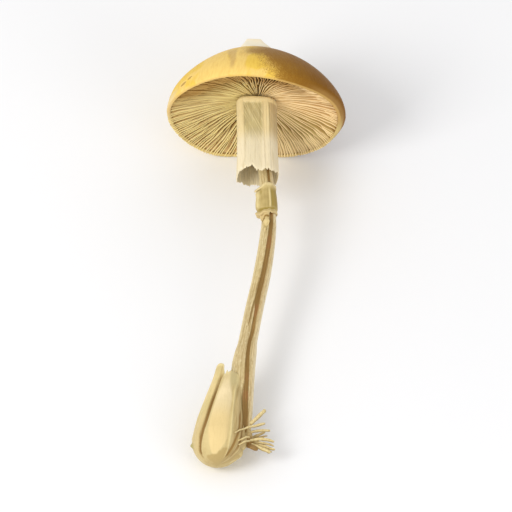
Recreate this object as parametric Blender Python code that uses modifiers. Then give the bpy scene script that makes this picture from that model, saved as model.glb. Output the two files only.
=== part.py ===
"""A picked gilled mushroom with a skirt-like ring and a sac-like volva, lying on its side.

The fruit body is first described upright, in its own frame: +Z runs up the cap's axis, the rim's
centre is the origin, -Y is the side that ends up on top and +Y the side that it lies on.
A parent empty then lays it down, so that it rests on two lobes of the cap margin and on the volva.
Lengths in the tables below are millimetres; the meshes are in metres.
"""

import math

import bmesh
import bpy
from mathutils import Matrix, Vector

MM = 0.001

# ---------------------------------------------------------------- driving dimensions (mm, degrees)
RIM_R = 38.2            # radius of the margin's edge, which is drawn in under the dome
DOME_R = 39.86          # widest radius of the dome
DOME_LOW = 3.28         # height of the widest ring over the rim plane
DOME_H = 29.78          # height of the dome over its widest ring, without the umbo
DOME_POWER = 1.57       # roundness of the dome: 2 is an ellipse, 1 a cone
DOME_SHIFT = 1.3        # the dome sits a little to +X of the rim
UMBO_R = 3.9            # flat top of the umbo
UMBO_TOP = 39.5         # its height over the rim plane
CAP_TILT = 2.65         # the cap leans to +X on its stem
LIP = 0.8               # width of the margin's edge at the rim
GILL_HOLLOW = 8.8       # how far the gill edges rise from the rim to the stem
GILL_RIBS = 56
GILL_HOLE_SHIFT = 0.6   # the gills meet a stem that stands a little off the cap's axis
SKIRT_R = 8.5           # pendulous ring
SKIRT_TOP = 6.9
SKIRT_HEM = -30.3
SKIRT_WALL = 0.7
VOLVA_WALL = 1.1
GAP = 0.35              # clearance between neighbouring pieces
MARGIN_BAY = 90.6       # bearing of the shallow bay between the two margin lobes that it rests on
LIE_PITCH = 8.3         # slope of the cap's axis over the floor

# height Z along the axis, sideways offset X, offset Y, radius
STEM = [
    (16.8, 2.3, 0.0, 3.50), (8.0, 2.0, 0.0, 3.35), (0.0, 2.4, 0.0, 3.25), (-26.0, 5.2, 0.0, 3.10),
    (-42.0, 6.7, 0.0, 3.10), (-53.5, 7.0, 0.0, 3.20), (-60.5, 6.5, 0.0, 3.50), (-80.5, 3.8, 0.0, 4.00),
    (-97.0, 0.6, 0.0, 4.10), (-114.5, -2.4, 0.0, 4.15), (-121.0, -3.5, 0.0, 4.85), (-127.5, -4.4, 0.0, 5.15), (-145.0, -5.3, 0.0, 5.05),
    (-159.5, -5.7, 0.0, 4.70), (-166.0, -6.1, 0.0, 4.20), (-169.5, -6.6, 0.0, 3.00), (-171.2, -6.9, 0.0, 1.40),
]

# height Z, left edge X, radius of the sac's left chamber
SAC = [
    (-123.5, -15.9, 5.0), (-128.5, -16.7, 6.0), (-135.0, -18.3, 7.2), (-145.5, -22.0, 9.2),
    (-156.0, -25.5, 10.9), (-165.5, -27.6, 11.9),
]
SAC_BOTTOM = -178.6
SAC_BOTTOM_X = -16.2

# torn edge of the sac: bearing about the sac (0 = +X, 90 = +Y, 180 = -X, 270 = -Y), height Z
SAC_EDGE = [
    (0, -167.4), (28, -165.5), (55, -155.0), (82, -144.0), (110, -138.0), (140, -135.5), (160, -132.5),
    (176, -130.6), (188, -129.0), (202, -128.4), (218, -128.4), (229, -129.4), (236, -134.2), (243, -135.6),
    (250, -134.4), (262, -134.6), (274, -134.0), (286, -134.4), (298, -135.4), (308, -138.5), (318, -146.0),
    (327, -156.5), (336, -164.8), (347, -167.2),
]

# rootlets: start on the stem's foot as (bearing, height), free tip (X, Y, Z), thick end, thin end
ROOTLETS = [
    ((352, -155.1), (5.8, -2.0, -151.0), 0.66, 0.42),
    ((300, -164.4), (4.6, -4.6, -160.6), 0.55, 0.32),
    ((355, -159.8), (7.8, 1.0, -160.2), 0.60, 0.32),
    ((30, -162.6), (5.0, 5.0, -159.2), 0.55, 0.30),
    ((320, -163.6), (9.0, -3.2, -168.2), 0.62, 0.34),
    ((12, -163.8), (9.7, 3.5, -168.3), 0.60, 0.32),
    ((346, -164.4), (7.8, 0.6, -172.8), 0.62, 0.34),
]


# ---------------------------------------------------------------- small helpers
def clear_scene():
    for ob in list(bpy.data.objects):
        bpy.data.objects.remove(ob, do_unlink=True)


def through(stations, x, column):
    """Smooth curve through stations sorted by their first value, read at x."""
    rows = sorted(stations)
    xs = [r[0] for r in rows]
    ys = [r[column] for r in rows]
    if x <= xs[0]:
        return ys[0]
    if x >= xs[-1]:
        return ys[-1]
    k = max(i for i in range(len(xs) - 1) if xs[i] <= x)
    h = xs[k + 1] - xs[k]
    t = (x - xs[k]) / h

    def slope(i):
        if i == 0:
            return (ys[1] - ys[0]) / (xs[1] - xs[0])
        if i == len(xs) - 1:
            return (ys[-1] - ys[-2]) / (xs[-1] - xs[-2])
        a = (ys[i] - ys[i - 1]) / (xs[i] - xs[i - 1])
        b = (ys[i + 1] - ys[i]) / (xs[i + 1] - xs[i])
        return 0.0 if a * b <= 0 else 2 * a * b / (a + b)

    m0, m1 = slope(k) * h, slope(k + 1) * h
    return ((2 * t**3 - 3 * t**2 + 1) * ys[k] + (t**3 - 2 * t**2 + t) * m0
            + (3 * t**2 - 2 * t**3) * ys[k + 1] + (t**3 - t**2) * m1)


def around(stations, bearing):
    """The same for a closed run of (bearing, value) in degrees."""
    rows = sorted(stations)
    wrapped = [(a - 360, v) for a, v in rows] + rows + [(a + 360, v) for a, v in rows]
    return through(wrapped, bearing % 360, 1)


def principled(name, colour, roughness, coat=0.0):
    mat = bpy.data.materials.new(name)
    mat.use_nodes = True
    shader = mat.node_tree.nodes["Principled BSDF"]
    shader.inputs["Base Color"].default_value = (*colour, 1.0)
    shader.inputs["Roughness"].default_value = roughness
    shader.inputs["Metallic"].default_value = 0.0
    shader.inputs["Coat Weight"].default_value = coat
    mat.diffuse_color = (*colour, 1.0)
    return mat


def put(name, bm, material, collection, parent):
    """Turns a bmesh in millimetres into a named, smooth-shaded object of the fruit body."""
    bmesh.ops.scale(bm, vec=(MM, MM, MM), verts=bm.verts)
    bmesh.ops.recalc_face_normals(bm, faces=bm.faces)
    mesh = bpy.data.meshes.new(name)
    bm.to_mesh(mesh)
    bm.free()
    mesh.shade_smooth()
    mesh.materials.append(material)
    ob = bpy.data.objects.new(name, mesh)
    collection.objects.link(ob)
    ob.parent = parent
    return ob


def turned(profile, steps, closed=False):
    """Spins a profile of (radius, height) about Z."""
    bm = bmesh.new()
    verts = [bm.verts.new((r, 0.0, z)) for r, z in profile]
    ring = list(zip(verts, verts[1:])) + ([(verts[-1], verts[0])] if closed else [])
    edges = [bm.edges.new(pair) for pair in ring]
    bmesh.ops.spin(bm, geom=verts + edges, axis=(0, 0, 1), cent=(0, 0, 0), steps=steps, angle=2 * math.pi)
    bmesh.ops.remove_doubles(bm, verts=bm.verts, dist=1e-3)
    return bm


def lofted(rings, pole=None):
    """An open sheet through rings of equally many points, closed to a point at the first end if asked."""
    bm = bmesh.new()
    rows = [[bm.verts.new(p) for p in ring] for ring in rings]
    n = len(rows[0])
    for a, b in zip(rows, rows[1:]):
        for i in range(n):
            bm.faces.new((a[i], a[(i + 1) % n], b[(i + 1) % n], b[i]))
    if pole:
        tip = bm.verts.new(pole)
        for i in range(n):
            bm.faces.new((tip, rows[0][(i + 1) % n], rows[0][i]))
    return bm


def walled(ob, thickness):
    """Gives an open sheet its wall, on the inside."""
    wall = ob.modifiers.new("Wall", "SOLIDIFY")
    wall.thickness = thickness * MM
    wall.offset = -1.0
    wall.use_even_offset = True
    return ob


# ---------------------------------------------------------------- cap and gills
def margin(bearing):
    """Radius of the rim against RIM_R: two resting lobes with a shallow bay between, and a slow wave."""
    off = (math.degrees(bearing) - MARGIN_BAY + 180) % 360 - 180
    bay = 0.115 * math.exp(-((off / 18.0) ** 2))
    return 1.005 - bay + 0.006 * math.cos(3 * bearing + 0.5) + 0.004 * math.cos(5 * bearing + 2.1)


FLESH_RADII = (0.0, 9.0, 18.0, 25.0, 31.0, 35.0, RIM_R - LIP)


def flesh(r):
    """Underside of the cap's flesh, where the gills hang."""
    return 17.8 - 16.2 * (r / (RIM_R - LIP)) ** 2.6


def gill_root(r):
    """The same underside as its facets run, less the clearance."""
    k = max(i for i in range(len(FLESH_RADII) - 1) if FLESH_RADII[i] <= r)
    a, b = FLESH_RADII[k], FLESH_RADII[k + 1]
    t = (r - a) / (b - a)
    return flesh(a) * (1 - t) + flesh(b) * t - GAP


def gill_edge(r):
    return GILL_HOLLOW * (1 - (r / RIM_R) ** 1.7)


def cap_shape(co):
    """Waves the margin, more so near the rim, then leans the cap on the stem."""
    x, y, z = co
    bearing = math.atan2(y, x)
    near_rim = max(0.0, min(1.0, 1 - z / (DOME_LOW + DOME_H))) ** 1.3
    k = 1 + (margin(bearing) - 1) * near_rim
    lift = 0.4 * math.cos(4 * bearing + 1.1) * near_rim * (math.hypot(x, y) / RIM_R) ** 3
    shift = DOME_SHIFT * max(0.0, min(1.0, z / DOME_LOW)) - 0.029 * z - 1.2 * max(0.0, (z - 30.0) / 9.5)
    return Matrix.Rotation(math.radians(CAP_TILT), 3, "Y") @ Vector((x * k + shift, y * k, z + lift))


def make_cap(material, collection, parent):
    power = 2 / DOME_POWER
    outer = [(DOME_R * math.cos(a) ** power, DOME_LOW + DOME_H * math.sin(a) ** power)
             for a in (math.radians(d) for d in (0, 8, 17, 27, 38, 49, 60, 70))]
    umbo = [(8.2, 33.0), (6.3, 34.9), (4.9, 36.9), (UMBO_R, UMBO_TOP - 0.4), (UMBO_R - 0.8, UMBO_TOP), (0.0, UMBO_TOP)]
    inner = [(r, flesh(r)) for r in FLESH_RADII]
    lip = [(RIM_R - LIP, 0.5), (RIM_R - 0.3 * LIP, -0.05), (RIM_R + 0.8, 0.5), (RIM_R + 1.4, 1.7)]
    bm = turned(umbo[::-1] + outer[::-1] + lip[::-1] + inner[::-1], 56)
    for v in bm.verts:
        v.co = cap_shape(v.co)
    return put("cap", bm, material, collection, parent)


def make_gills(material, collection, parent):
    """One ribbed body: ribs hang to the gill edges, with furrows half way up between them."""
    radii = (4.7, 9.0, 18.0, 25.0, 31.0, 35.0, RIM_R - LIP - GAP - 0.1)
    under = [(r, gill_edge(r)) for r in radii]
    over = [(r, gill_root(r)) for r in radii]
    bm = turned(under + over[::-1], 2 * GILL_RIBS, closed=True)
    for v in bm.verts:
        x, y, z = v.co
        r = math.hypot(x, y)
        bearing = math.atan2(y, x)
        step = round(bearing / math.pi * GILL_RIBS)
        if step % 2 and z < 0.5 * (gill_edge(r) + gill_root(r)) and 6.0 < r < 36.0:
            z += 0.5 * (gill_root(r) - gill_edge(r))
        shift = GILL_HOLE_SHIFT * max(0.0, 1 - r / 20.0)
        v.co = cap_shape((x + shift, y, z))
    return put("gills", bm, material, collection, parent)


# ---------------------------------------------------------------- stem and its ring
def stem_at(z):
    return Vector((through(STEM, z, 1), through(STEM, z, 2), z)), through(STEM, z, 3)


def tube(name, points, sides, material, collection, parent):
    """A bevelled curve with filled caps through (position, radius), turned into a closed mesh."""
    data = bpy.data.curves.new(name, "CURVE")
    data.dimensions = "3D"
    data.bevel_depth = MM
    data.bevel_resolution = sides // 2 - 2
    data.use_fill_caps = True
    data.twist_mode = "MINIMUM"
    line = data.splines.new("POLY")
    line.points.add(len(points) - 1)
    for p, (co, r) in zip(line.points, points):
        p.co = (*(Vector(co) * MM), 1.0)
        p.radius = r
    guide = bpy.data.objects.new(name + "_line", data)
    collection.objects.link(guide)
    bpy.context.view_layer.update()
    mesh = bpy.data.meshes.new_from_object(guide.evaluated_get(bpy.context.evaluated_depsgraph_get()))
    bpy.data.objects.remove(guide, do_unlink=True)
    bm = bmesh.new()
    bm.from_mesh(mesh)
    bpy.data.meshes.remove(mesh)
    bmesh.ops.remove_doubles(bm, verts=bm.verts, dist=1e-6)
    bmesh.ops.scale(bm, vec=(1 / MM, 1 / MM, 1 / MM), verts=bm.verts)
    return put(name, bm, material, collection, parent)


def make_stem(material, collection, parent):
    levels = [16.8, 8, -4, -16, -29, -41, -51, -59, -68, -77, -87, -98, -109, -118, -125, -132, -141, -150,
              -158, -163.5, -167, -169.2, -170.8]
    return tube("stem", [stem_at(z) for z in levels], 16, material, collection, parent)


def make_skirt(material, collection, parent):
    """The pendulous ring: a shoulder close round the stem's top, then a pleated tube with a wavy hem."""
    # share of the way from the shoulder's inner edge to the hem, radius, height
    rows = [(4.15, 6.6), (7.2, SKIRT_TOP), (8.3, 6.1), (SKIRT_R, 4.0), (SKIRT_R, -5.0), (SKIRT_R + 0.1, -14.0),
            (SKIRT_R + 0.2, -22.0), (SKIRT_R + 0.5, SKIRT_HEM)]
    n = 48
    rings = []
    for r, z in rows[::-1]:
        down = max(0.0, min(1.0, (SKIRT_TOP - z) / (SKIRT_TOP - SKIRT_HEM)))
        top = through(STEM, z, 1)
        mid = 1.35 + 0.6 * down
        close = max(0.0, min(1.0, (SKIRT_R - r) / (SKIRT_R - 4.15)))
        ring = []
        for i in range(n):
            a = 2 * math.pi * i / n
            # a rounded square in plan, rounder towards the hem
            power, deep = 3.8 - 1.2 * down, 0.93 + 0.05 * down
            square = (abs(math.cos(a)) ** power + abs(math.sin(a) / deep) ** power) ** (-1 / power)
            fold = r * (square - 1) * (1 - 0.5 * close)
            hem = (0.9 * math.cos(3 * a + 0.4) + 0.6 * math.cos(7 * a + 1.0)) * down**6
            x = (top * close + mid * (1 - close)) + (r + fold) * math.cos(a)
            y = (r + fold) * math.sin(a)
            ring.append((x, y, z + hem - (x - mid) * math.tan(math.radians(CAP_TILT)) * (1 - down)))
        rings.append(ring)
    return walled(put("skirt_ring", lofted(rings), material, collection, parent), SKIRT_WALL)


def make_sleeve(material, collection, parent):
    """The small lower ring: a collapsed cuff round the stem with a rolled collar at each end."""
    top, bottom = -35.2, -50.8
    clear = 3.2 + GAP
    # wall thickness and height, up the outside from the lower collar
    profile = [
        (0.0, bottom + 0.9), (0.45, bottom), (1.1, bottom + 0.1), (1.5, bottom + 1.2), (1.2, bottom + 2.6),
        (0.75, bottom + 3.8), (1.15, bottom + 6.0), (1.0, bottom + 9.0), (0.7, top - 3.0), (1.05, top - 1.8),
        (1.0, top - 0.6), (0.45, top), (0.0, top - 0.9),
    ]
    bm = turned([(clear + wall, z) for wall, z in profile], 32, closed=True)
    for v in bm.verts:
        x, y, z = v.co
        a = math.atan2(y, x)
        wall = math.hypot(x, y) - clear
        # full on the left, drawn tight to the stem on the right
        wall *= 1.10 - 0.68 * math.cos(a) + 0.08 * math.cos(3 * a + 0.7)
        full = min(1.0, wall / 0.8)
        centre, _ = stem_at(z)
        r = clear + wall
        v.co = (centre.x + r * math.cos(a), centre.y + r * math.sin(a), z + 0.45 * math.cos(2 * a + 0.9) * full)
    return put("ring_sleeve", bm, material, collection, parent)


# ---------------------------------------------------------------- volva
def sac_section(z):
    """Left chamber (centre, radius) and the part that hugs the stem (centre, radius) at height z."""
    level = max(z, SAC[-1][0]) if z < SAC[-1][0] else z
    left, radius = through(SAC, level, 1), through(SAC, level, 2)
    centre = left + radius
    _, stem_r = stem_at(max(z, -165.0))
    hug_x, hug_r = through(STEM, max(z, -169.0), 1), stem_r + GAP + VOLVA_WALL + 0.05
    if z < SAC[-1][0]:
        low = SAC[-1][0]
        t = (low - z) / (low - SAC_BOTTOM)
        shrink = math.sqrt(max(0.0, 1 - t**2.2))
        centre = centre * (1 - t) + SAC_BOTTOM_X * t
        hug_x = hug_x * (1 - t**3) + SAC_BOTTOM_X * t**3
        radius, hug_r = radius * shrink, hug_r * shrink * (1 - 0.14 * t)
    return centre, radius, hug_x, hug_r


def hull_radius(bearing, r_big, gap, r_small):
    """Distance from the big circle's centre to the outline that wraps both circles."""
    c, s = math.cos(bearing), abs(math.sin(bearing))
    if gap + r_small <= r_big:
        return r_big
    sin_a = max(-1.0, min(1.0, (r_big - r_small) / gap))
    cos_a = math.sqrt(1 - sin_a**2)
    slope = c * sin_a + s * cos_a
    if slope > 1e-6:
        t = r_big / slope
        u = t * (c * cos_a - s * sin_a)
        if 0 <= u <= gap * cos_a:
            return t
        if u < 0:
            return r_big
    elif c < 0:
        return r_big
    root = r_small**2 - (gap * s) ** 2
    return gap * c + math.sqrt(max(0.0, root))


def sac_point(bearing, z):
    centre, radius, hug_x, hug_r = sac_section(z)
    out = hull_radius(bearing, radius, max(1e-3, hug_x - centre), hug_r)
    deg = math.degrees(bearing) % 360
    # the crease that sets the free lobe apart from the front of the sac
    crease = 231.0 - 6.0 * (z + 154.0) / 25.0
    fade = max(0.0, min(1.0, (z + 175.0) / 8.0))
    out -= 0.75 * fade * math.exp(-(((deg - crease) / 6.5) ** 2))
    # a small torn spur low on the left
    out += 1.3 * math.exp(-(((deg - 184) / 8.0) ** 2) - ((z + 169.4) / 1.8) ** 2)
    return centre + out * math.cos(bearing), out * math.sin(bearing), z


def make_volva(material, collection, parent):
    n = 52
    bearings = [2 * math.pi * i / n for i in range(n)]
    share = (0.035, 0.09, 0.17, 0.26, 0.36, 0.47, 0.58, 0.69, 0.80, 0.91, 1.0)
    rings = []
    for f in share:
        ring = []
        for a in bearings:
            edge = around(SAC_EDGE, math.degrees(a))
            floor_z = SAC_BOTTOM
            ring.append(sac_point(a, floor_z + (edge - floor_z) * f ** 1.15))
        rings.append(ring)
    bm = lofted(rings, pole=(SAC_BOTTOM_X, 0.0, SAC_BOTTOM))
    return walled(put("volva", bm, material, collection, parent), VOLVA_WALL)


# ---------------------------------------------------------------- rootlets
def make_rootlet(index, spec, material, collection, parent):
    (bearing, z0), tip, thick, thin = spec
    centre, r = stem_at(z0)
    a = math.radians(bearing)
    out = Vector((math.cos(a), math.sin(a), 0.0))
    start = centre + out * (r + GAP + thick + 0.1)
    tip = Vector(tip)
    run = tip - start
    bend = Vector((0.12 * run.z, 0.5, -0.1 * run.x))
    points = []
    for i in range(7):
        t = i / 6
        co = start + run * t + bend * math.sin(math.pi * t) * (1 if index % 2 else -1) + out * 0.5 * math.sin(math.pi * t)
        points.append((co, thick + (thin - thick) * t**0.8))
    return tube(f"rootlet_{index}", points, 8, material, collection, parent)


# ---------------------------------------------------------------- assembly
def lay_down(parent, objects):
    """Turns the fruit body onto its side, lowers it to the floor and centres it."""
    parent.matrix_world = Matrix.Rotation(math.radians(LIE_PITCH - 90.0), 4, "X")
    bpy.context.view_layer.update()
    graph = bpy.context.evaluated_depsgraph_get()
    low, high = Vector((1e9,) * 3), Vector((-1e9,) * 3)
    for ob in objects:
        seen = ob.evaluated_get(graph)
        mesh = seen.to_mesh()
        for v in mesh.vertices:
            p = seen.matrix_world @ v.co
            for k in range(3):
                low[k], high[k] = min(low[k], p[k]), max(high[k], p[k])
        seen.to_mesh_clear()
    parent.location = (-(low.x + high.x) / 2, -(low.y + high.y) / 2, -low.z)
    bpy.context.view_layer.update()


def main():
    clear_scene()
    collection = bpy.data.collections.new("ringed_mushroom")
    bpy.context.scene.collection.children.link(collection)
    fruit = bpy.data.objects.new("fruit_body", None)
    collection.objects.link(fruit)

    skin = principled("cap_skin", (0.82, 0.56, 0.16), 0.42, 0.15)
    lamella = principled("gill_tissue", (0.56, 0.42, 0.20), 0.75)
    flesh_mat = principled("stem_fibre", (0.72, 0.58, 0.34), 0.70)
    veil = principled("ring_membrane", (0.80, 0.70, 0.46), 0.72)
    sac = principled("volva_membrane", (0.80, 0.68, 0.42), 0.78)
    root = principled("rootlet_fibre", (0.66, 0.50, 0.24), 0.85)

    made = [
        make_cap(skin, collection, fruit),
        make_gills(lamella, collection, fruit),
        make_stem(flesh_mat, collection, fruit),
        make_skirt(veil, collection, fruit),
        make_sleeve(veil, collection, fruit),
        make_volva(sac, collection, fruit),
    ]
    made += [make_rootlet(i + 1, spec, root, collection, fruit) for i, spec in enumerate(ROOTLETS)]
    lay_down(fruit, made)


main()
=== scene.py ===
"""The looks of a picked gilled mushroom with a ring and a volva, lying on its side.

Shapes are written upright, in the fruit body's own frame and in millimetres: +Z up the cap's axis, the rim's
centre at the origin, -Y the side that ends up on top. laid() turns them into the row frame, as the solids lie.
"""

import math

import bmesh
import bpy
import numpy as np
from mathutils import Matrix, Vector


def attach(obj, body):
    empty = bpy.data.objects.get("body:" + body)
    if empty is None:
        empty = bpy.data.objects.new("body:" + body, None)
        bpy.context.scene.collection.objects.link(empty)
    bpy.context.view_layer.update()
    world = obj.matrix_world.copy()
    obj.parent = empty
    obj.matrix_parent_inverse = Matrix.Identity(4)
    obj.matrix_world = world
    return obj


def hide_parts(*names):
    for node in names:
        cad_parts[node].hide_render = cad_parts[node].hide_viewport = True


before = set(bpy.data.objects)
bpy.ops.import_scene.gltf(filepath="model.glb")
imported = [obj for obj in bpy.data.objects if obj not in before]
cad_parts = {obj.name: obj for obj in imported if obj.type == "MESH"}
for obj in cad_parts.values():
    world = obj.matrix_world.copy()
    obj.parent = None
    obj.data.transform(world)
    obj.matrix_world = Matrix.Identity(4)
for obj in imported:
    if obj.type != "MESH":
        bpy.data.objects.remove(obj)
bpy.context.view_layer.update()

# ------------------------------------------------------------------ how it lies
LIE_PITCH = 8.3
LIE_AT = np.array([-0.0012782, 0.0685839, 0.0358926])
TURN = math.radians(LIE_PITCH - 90.0)


def laid(points):
    """Points of the upright frame, in millimetres, as they lie in the row frame, in metres."""
    p = np.asarray(points, float)
    c, s = math.cos(TURN), math.sin(TURN)
    return np.stack([p[..., 0], c * p[..., 1] - s * p[..., 2], s * p[..., 1] + c * p[..., 2]], -1) * 0.001 + LIE_AT


# ------------------------------------------------------------------ the solids' own dimensions, in millimetres
RIM_R, DOME_R, DOME_LOW, DOME_H, DOME_POWER, DOME_SHIFT = 38.2, 39.86, 3.28, 29.78, 1.57, 1.3
CAP_TILT, LIP, GILL_HOLLOW, GILL_HOLE_SHIFT = 2.65, 0.8, 8.8, 0.6
SKIRT_R, SKIRT_TOP, SKIRT_HEM = 8.5, 6.9, -30.3
VOLVA_WALL, GAP, MARGIN_BAY = 1.1, 0.35, 90.6

STEM = [
    (16.8, 2.3, 0.0, 3.50), (8.0, 2.0, 0.0, 3.35), (0.0, 2.4, 0.0, 3.25), (-26.0, 5.2, 0.0, 3.10),
    (-42.0, 6.7, 0.0, 3.10), (-53.5, 7.0, 0.0, 3.20), (-60.5, 6.5, 0.0, 3.50), (-80.5, 3.8, 0.0, 4.00),
    (-97.0, 0.6, 0.0, 4.10), (-114.5, -2.4, 0.0, 4.15), (-121.0, -3.5, 0.0, 4.85), (-127.5, -4.4, 0.0, 5.15),
    (-145.0, -5.3, 0.0, 5.05), (-159.5, -5.7, 0.0, 4.70), (-166.0, -6.1, 0.0, 4.20), (-169.5, -6.6, 0.0, 3.00),
    (-171.2, -6.9, 0.0, 1.40),
]
SAC = [
    (-123.5, -15.9, 5.0), (-128.5, -16.7, 6.0), (-135.0, -18.3, 7.2), (-145.5, -22.0, 9.2),
    (-156.0, -25.5, 10.9), (-165.5, -27.6, 11.9),
]
SAC_LOW, SAC_BOTTOM, SAC_BOTTOM_X = -165.5, -178.6, -16.2
SAC_EDGE = [
    (0, -167.4), (28, -165.5), (55, -155.0), (82, -144.0), (110, -138.0), (140, -135.5), (160, -132.5),
    (176, -130.8), (188, -129.4), (200, -128.8), (215, -128.6), (230, -128.8), (239, -129.2), (246, -130.6),
    (251, -133.2), (255.5, -136.0), (261, -136.0), (267, -135.5), (273, -134.5), (279, -133.6), (287, -134.2), (299, -134.6), (307, -136.6),
    (314, -141.0), (320, -147.5), (327, -155.5), (335, -162.0), (345, -166.2),
]


def through(stations, x, column=1):
    """Smooth monotone curve through stations, read at the array x."""
    rows = np.array(sorted(stations), float)
    xs, ys = rows[:, 0], rows[:, column]
    d = np.diff(ys) / np.diff(xs)
    m = np.empty(len(xs))
    m[0], m[-1] = d[0], d[-1]
    both = d[:-1] * d[1:]
    total = d[:-1] + d[1:]
    m[1:-1] = np.where(both > 0, 2 * both / np.where(both > 0, total, 1.0), 0.0)
    x = np.clip(np.asarray(x, float), xs[0], xs[-1])
    k = np.clip(np.searchsorted(xs, x, side="right") - 1, 0, len(xs) - 2)
    h = xs[k + 1] - xs[k]
    t = (x - xs[k]) / h
    return ((2 * t**3 - 3 * t**2 + 1) * ys[k] + (t**3 - 2 * t**2 + t) * m[k] * h
            + (3 * t**2 - 2 * t**3) * ys[k + 1] + (t**3 - t**2) * m[k + 1] * h)


def around(stations, degrees):
    rows = sorted(stations)
    wrapped = [(a - 360, v) for a, v in rows] + rows + [(a + 360, v) for a, v in rows]
    return through(wrapped, np.asarray(degrees) % 360)


def turn_to(degrees, centre):
    """Signed turn from centre to degrees, from -180 to 180."""
    return (np.asarray(degrees) - centre + 180) % 360 - 180


def bell(x, width):
    return np.exp(-((np.asarray(x) / width) ** 2))


def step(x, a, b):
    t = np.clip((np.asarray(x, float) - a) / (b - a), 0, 1)
    return t * t * (3 - 2 * t)


def wander(x, seed, low=1, high=9, power=1.0):
    """A smooth, repeating run over the angle x, in radians, within about -1 to 1."""
    rng = np.random.RandomState(seed)
    total, size = np.zeros_like(np.asarray(x, float)), 0.0
    for n in range(low, high + 1):
        a = rng.uniform(0.4, 1.0) / n**power
        total = total + a * np.sin(n * np.asarray(x) + rng.uniform(0, 2 * math.pi))
        size += a * a
    return total / math.sqrt(size) * 0.75


def ripple(x, y, seed, count=10, low=0.5, high=3.0):
    """A smooth, irregular sheet over x and y, within about -1 to 1."""
    rng = np.random.RandomState(seed)
    total = 0.0
    for _ in range(count):
        f, g = rng.uniform(low, high) * rng.choice([-1, 1]), rng.uniform(low, high)
        total = total + np.sin(f * x + g * y + rng.uniform(0, 2 * math.pi))
    return total / math.sqrt(count) * 0.8


# ------------------------------------------------------------------ meshes
def grid(nu, nv, wrap_u=False, wrap_v=False, base=0, flip=False):
    """Faces of a net of nu by nv points, numbered row by row."""
    u = np.arange(nu if wrap_u else nu - 1)
    v = np.arange(nv if wrap_v else nv - 1)
    a, b = np.meshgrid(u, v, indexing="ij")
    a2, b2 = (a + 1) % nu, (b + 1) % nv
    q = np.stack([a * nv + b, a2 * nv + b, a2 * nv + b2, a * nv + b2], -1).reshape(-1, 4) + base
    return q[:, ::-1] if flip else q


def fan(ring, tip, flip=False):
    """Triangles from a closed ring of point numbers to one point."""
    r = np.asarray(ring)
    t = np.stack([r, np.roll(r, -1), np.full(len(r), tip)], -1)
    return t[:, ::-1] if flip else t


def piece(name, points, faces, material, replaces=(), extra=None, at=None, recalc=True):
    """A mesh piece of the object. at holds the points' coordinates for the patterns, if not the points themselves."""
    mesh = bpy.data.meshes.new(name)
    lists = []
    for f in faces:
        lists += np.asarray(f).tolist()
    points = np.asarray(points, float).reshape(-1, 3)
    placed = laid(points)
    placed[:, 2] = np.maximum(placed[:, 2], 0.00002)
    mesh.from_pydata(placed.tolist(), [], lists)
    if recalc:
        bm = bmesh.new()
        bm.from_mesh(mesh)
        bmesh.ops.recalc_face_normals(bm, faces=bm.faces)
        bm.to_mesh(mesh)
        bm.free()
    mesh.shade_smooth()
    where = points if at is None else np.asarray(at, float).reshape(-1, 3)
    layer = mesh.attributes.new("loc", "FLOAT_VECTOR", "POINT")
    layer.data.foreach_set("vector", where.astype(np.float32).ravel())
    for key, values in (extra or {}).items():
        layer = mesh.attributes.new(key, "FLOAT_VECTOR", "POINT")
        layer.data.foreach_set("vector", np.asarray(values, np.float32).reshape(-1, 3).ravel())
    mesh.materials.append(material)
    ob = bpy.data.objects.new(name, mesh)
    bpy.context.scene.collection.objects.link(ob)
    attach(ob, "root")
    if replaces:
        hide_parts(*replaces)
    return ob


def net_normals(p, wrap_u=True):
    """Unit normals of a net of points (u, v, 3), out of the surface or into it, the same way all over."""
    du = np.roll(p, -1, 0) - np.roll(p, 1, 0) if wrap_u else np.gradient(p, axis=0)
    dv = np.gradient(p, axis=1)
    n = np.cross(du, dv)
    return n / np.maximum(np.linalg.norm(n, axis=-1, keepdims=True), 1e-9)


def tube_points(centres, radii, sides, roll=0.0, lumps=None):
    """Rings round a line of points, as an array (along, round, 3)."""
    c = np.asarray(centres, float)
    t = np.gradient(c, axis=0)
    t /= np.linalg.norm(t, axis=1, keepdims=True)
    up = np.array([0.0, 1.0, 0.0]) if abs(t[0][1]) < 0.9 else np.array([1.0, 0.0, 0.0])
    a = np.cross(t[0], up)
    a /= np.linalg.norm(a)
    rings = []
    angle = np.linspace(0, 2 * math.pi, sides, endpoint=False) + roll
    for i in range(len(c)):
        a = a - t[i] * (a @ t[i])
        a /= np.linalg.norm(a)
        b = np.cross(t[i], a)
        r = radii[i] * (1 + (lumps[i] if lumps is not None else 0.0))
        rings.append(c[i] + np.cos(angle)[:, None] * a * np.reshape(r, (-1, 1)) + np.sin(angle)[:, None] * b * np.reshape(r, (-1, 1)))
    return np.array(rings)


# ------------------------------------------------------------------ materials
def srgb(r, g, b):
    return tuple((v / 12.92 if v <= 0.04045 else ((v + 0.055) / 1.055) ** 2.4) for v in (r / 255, g / 255, b / 255)) + (1.0,)


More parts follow.
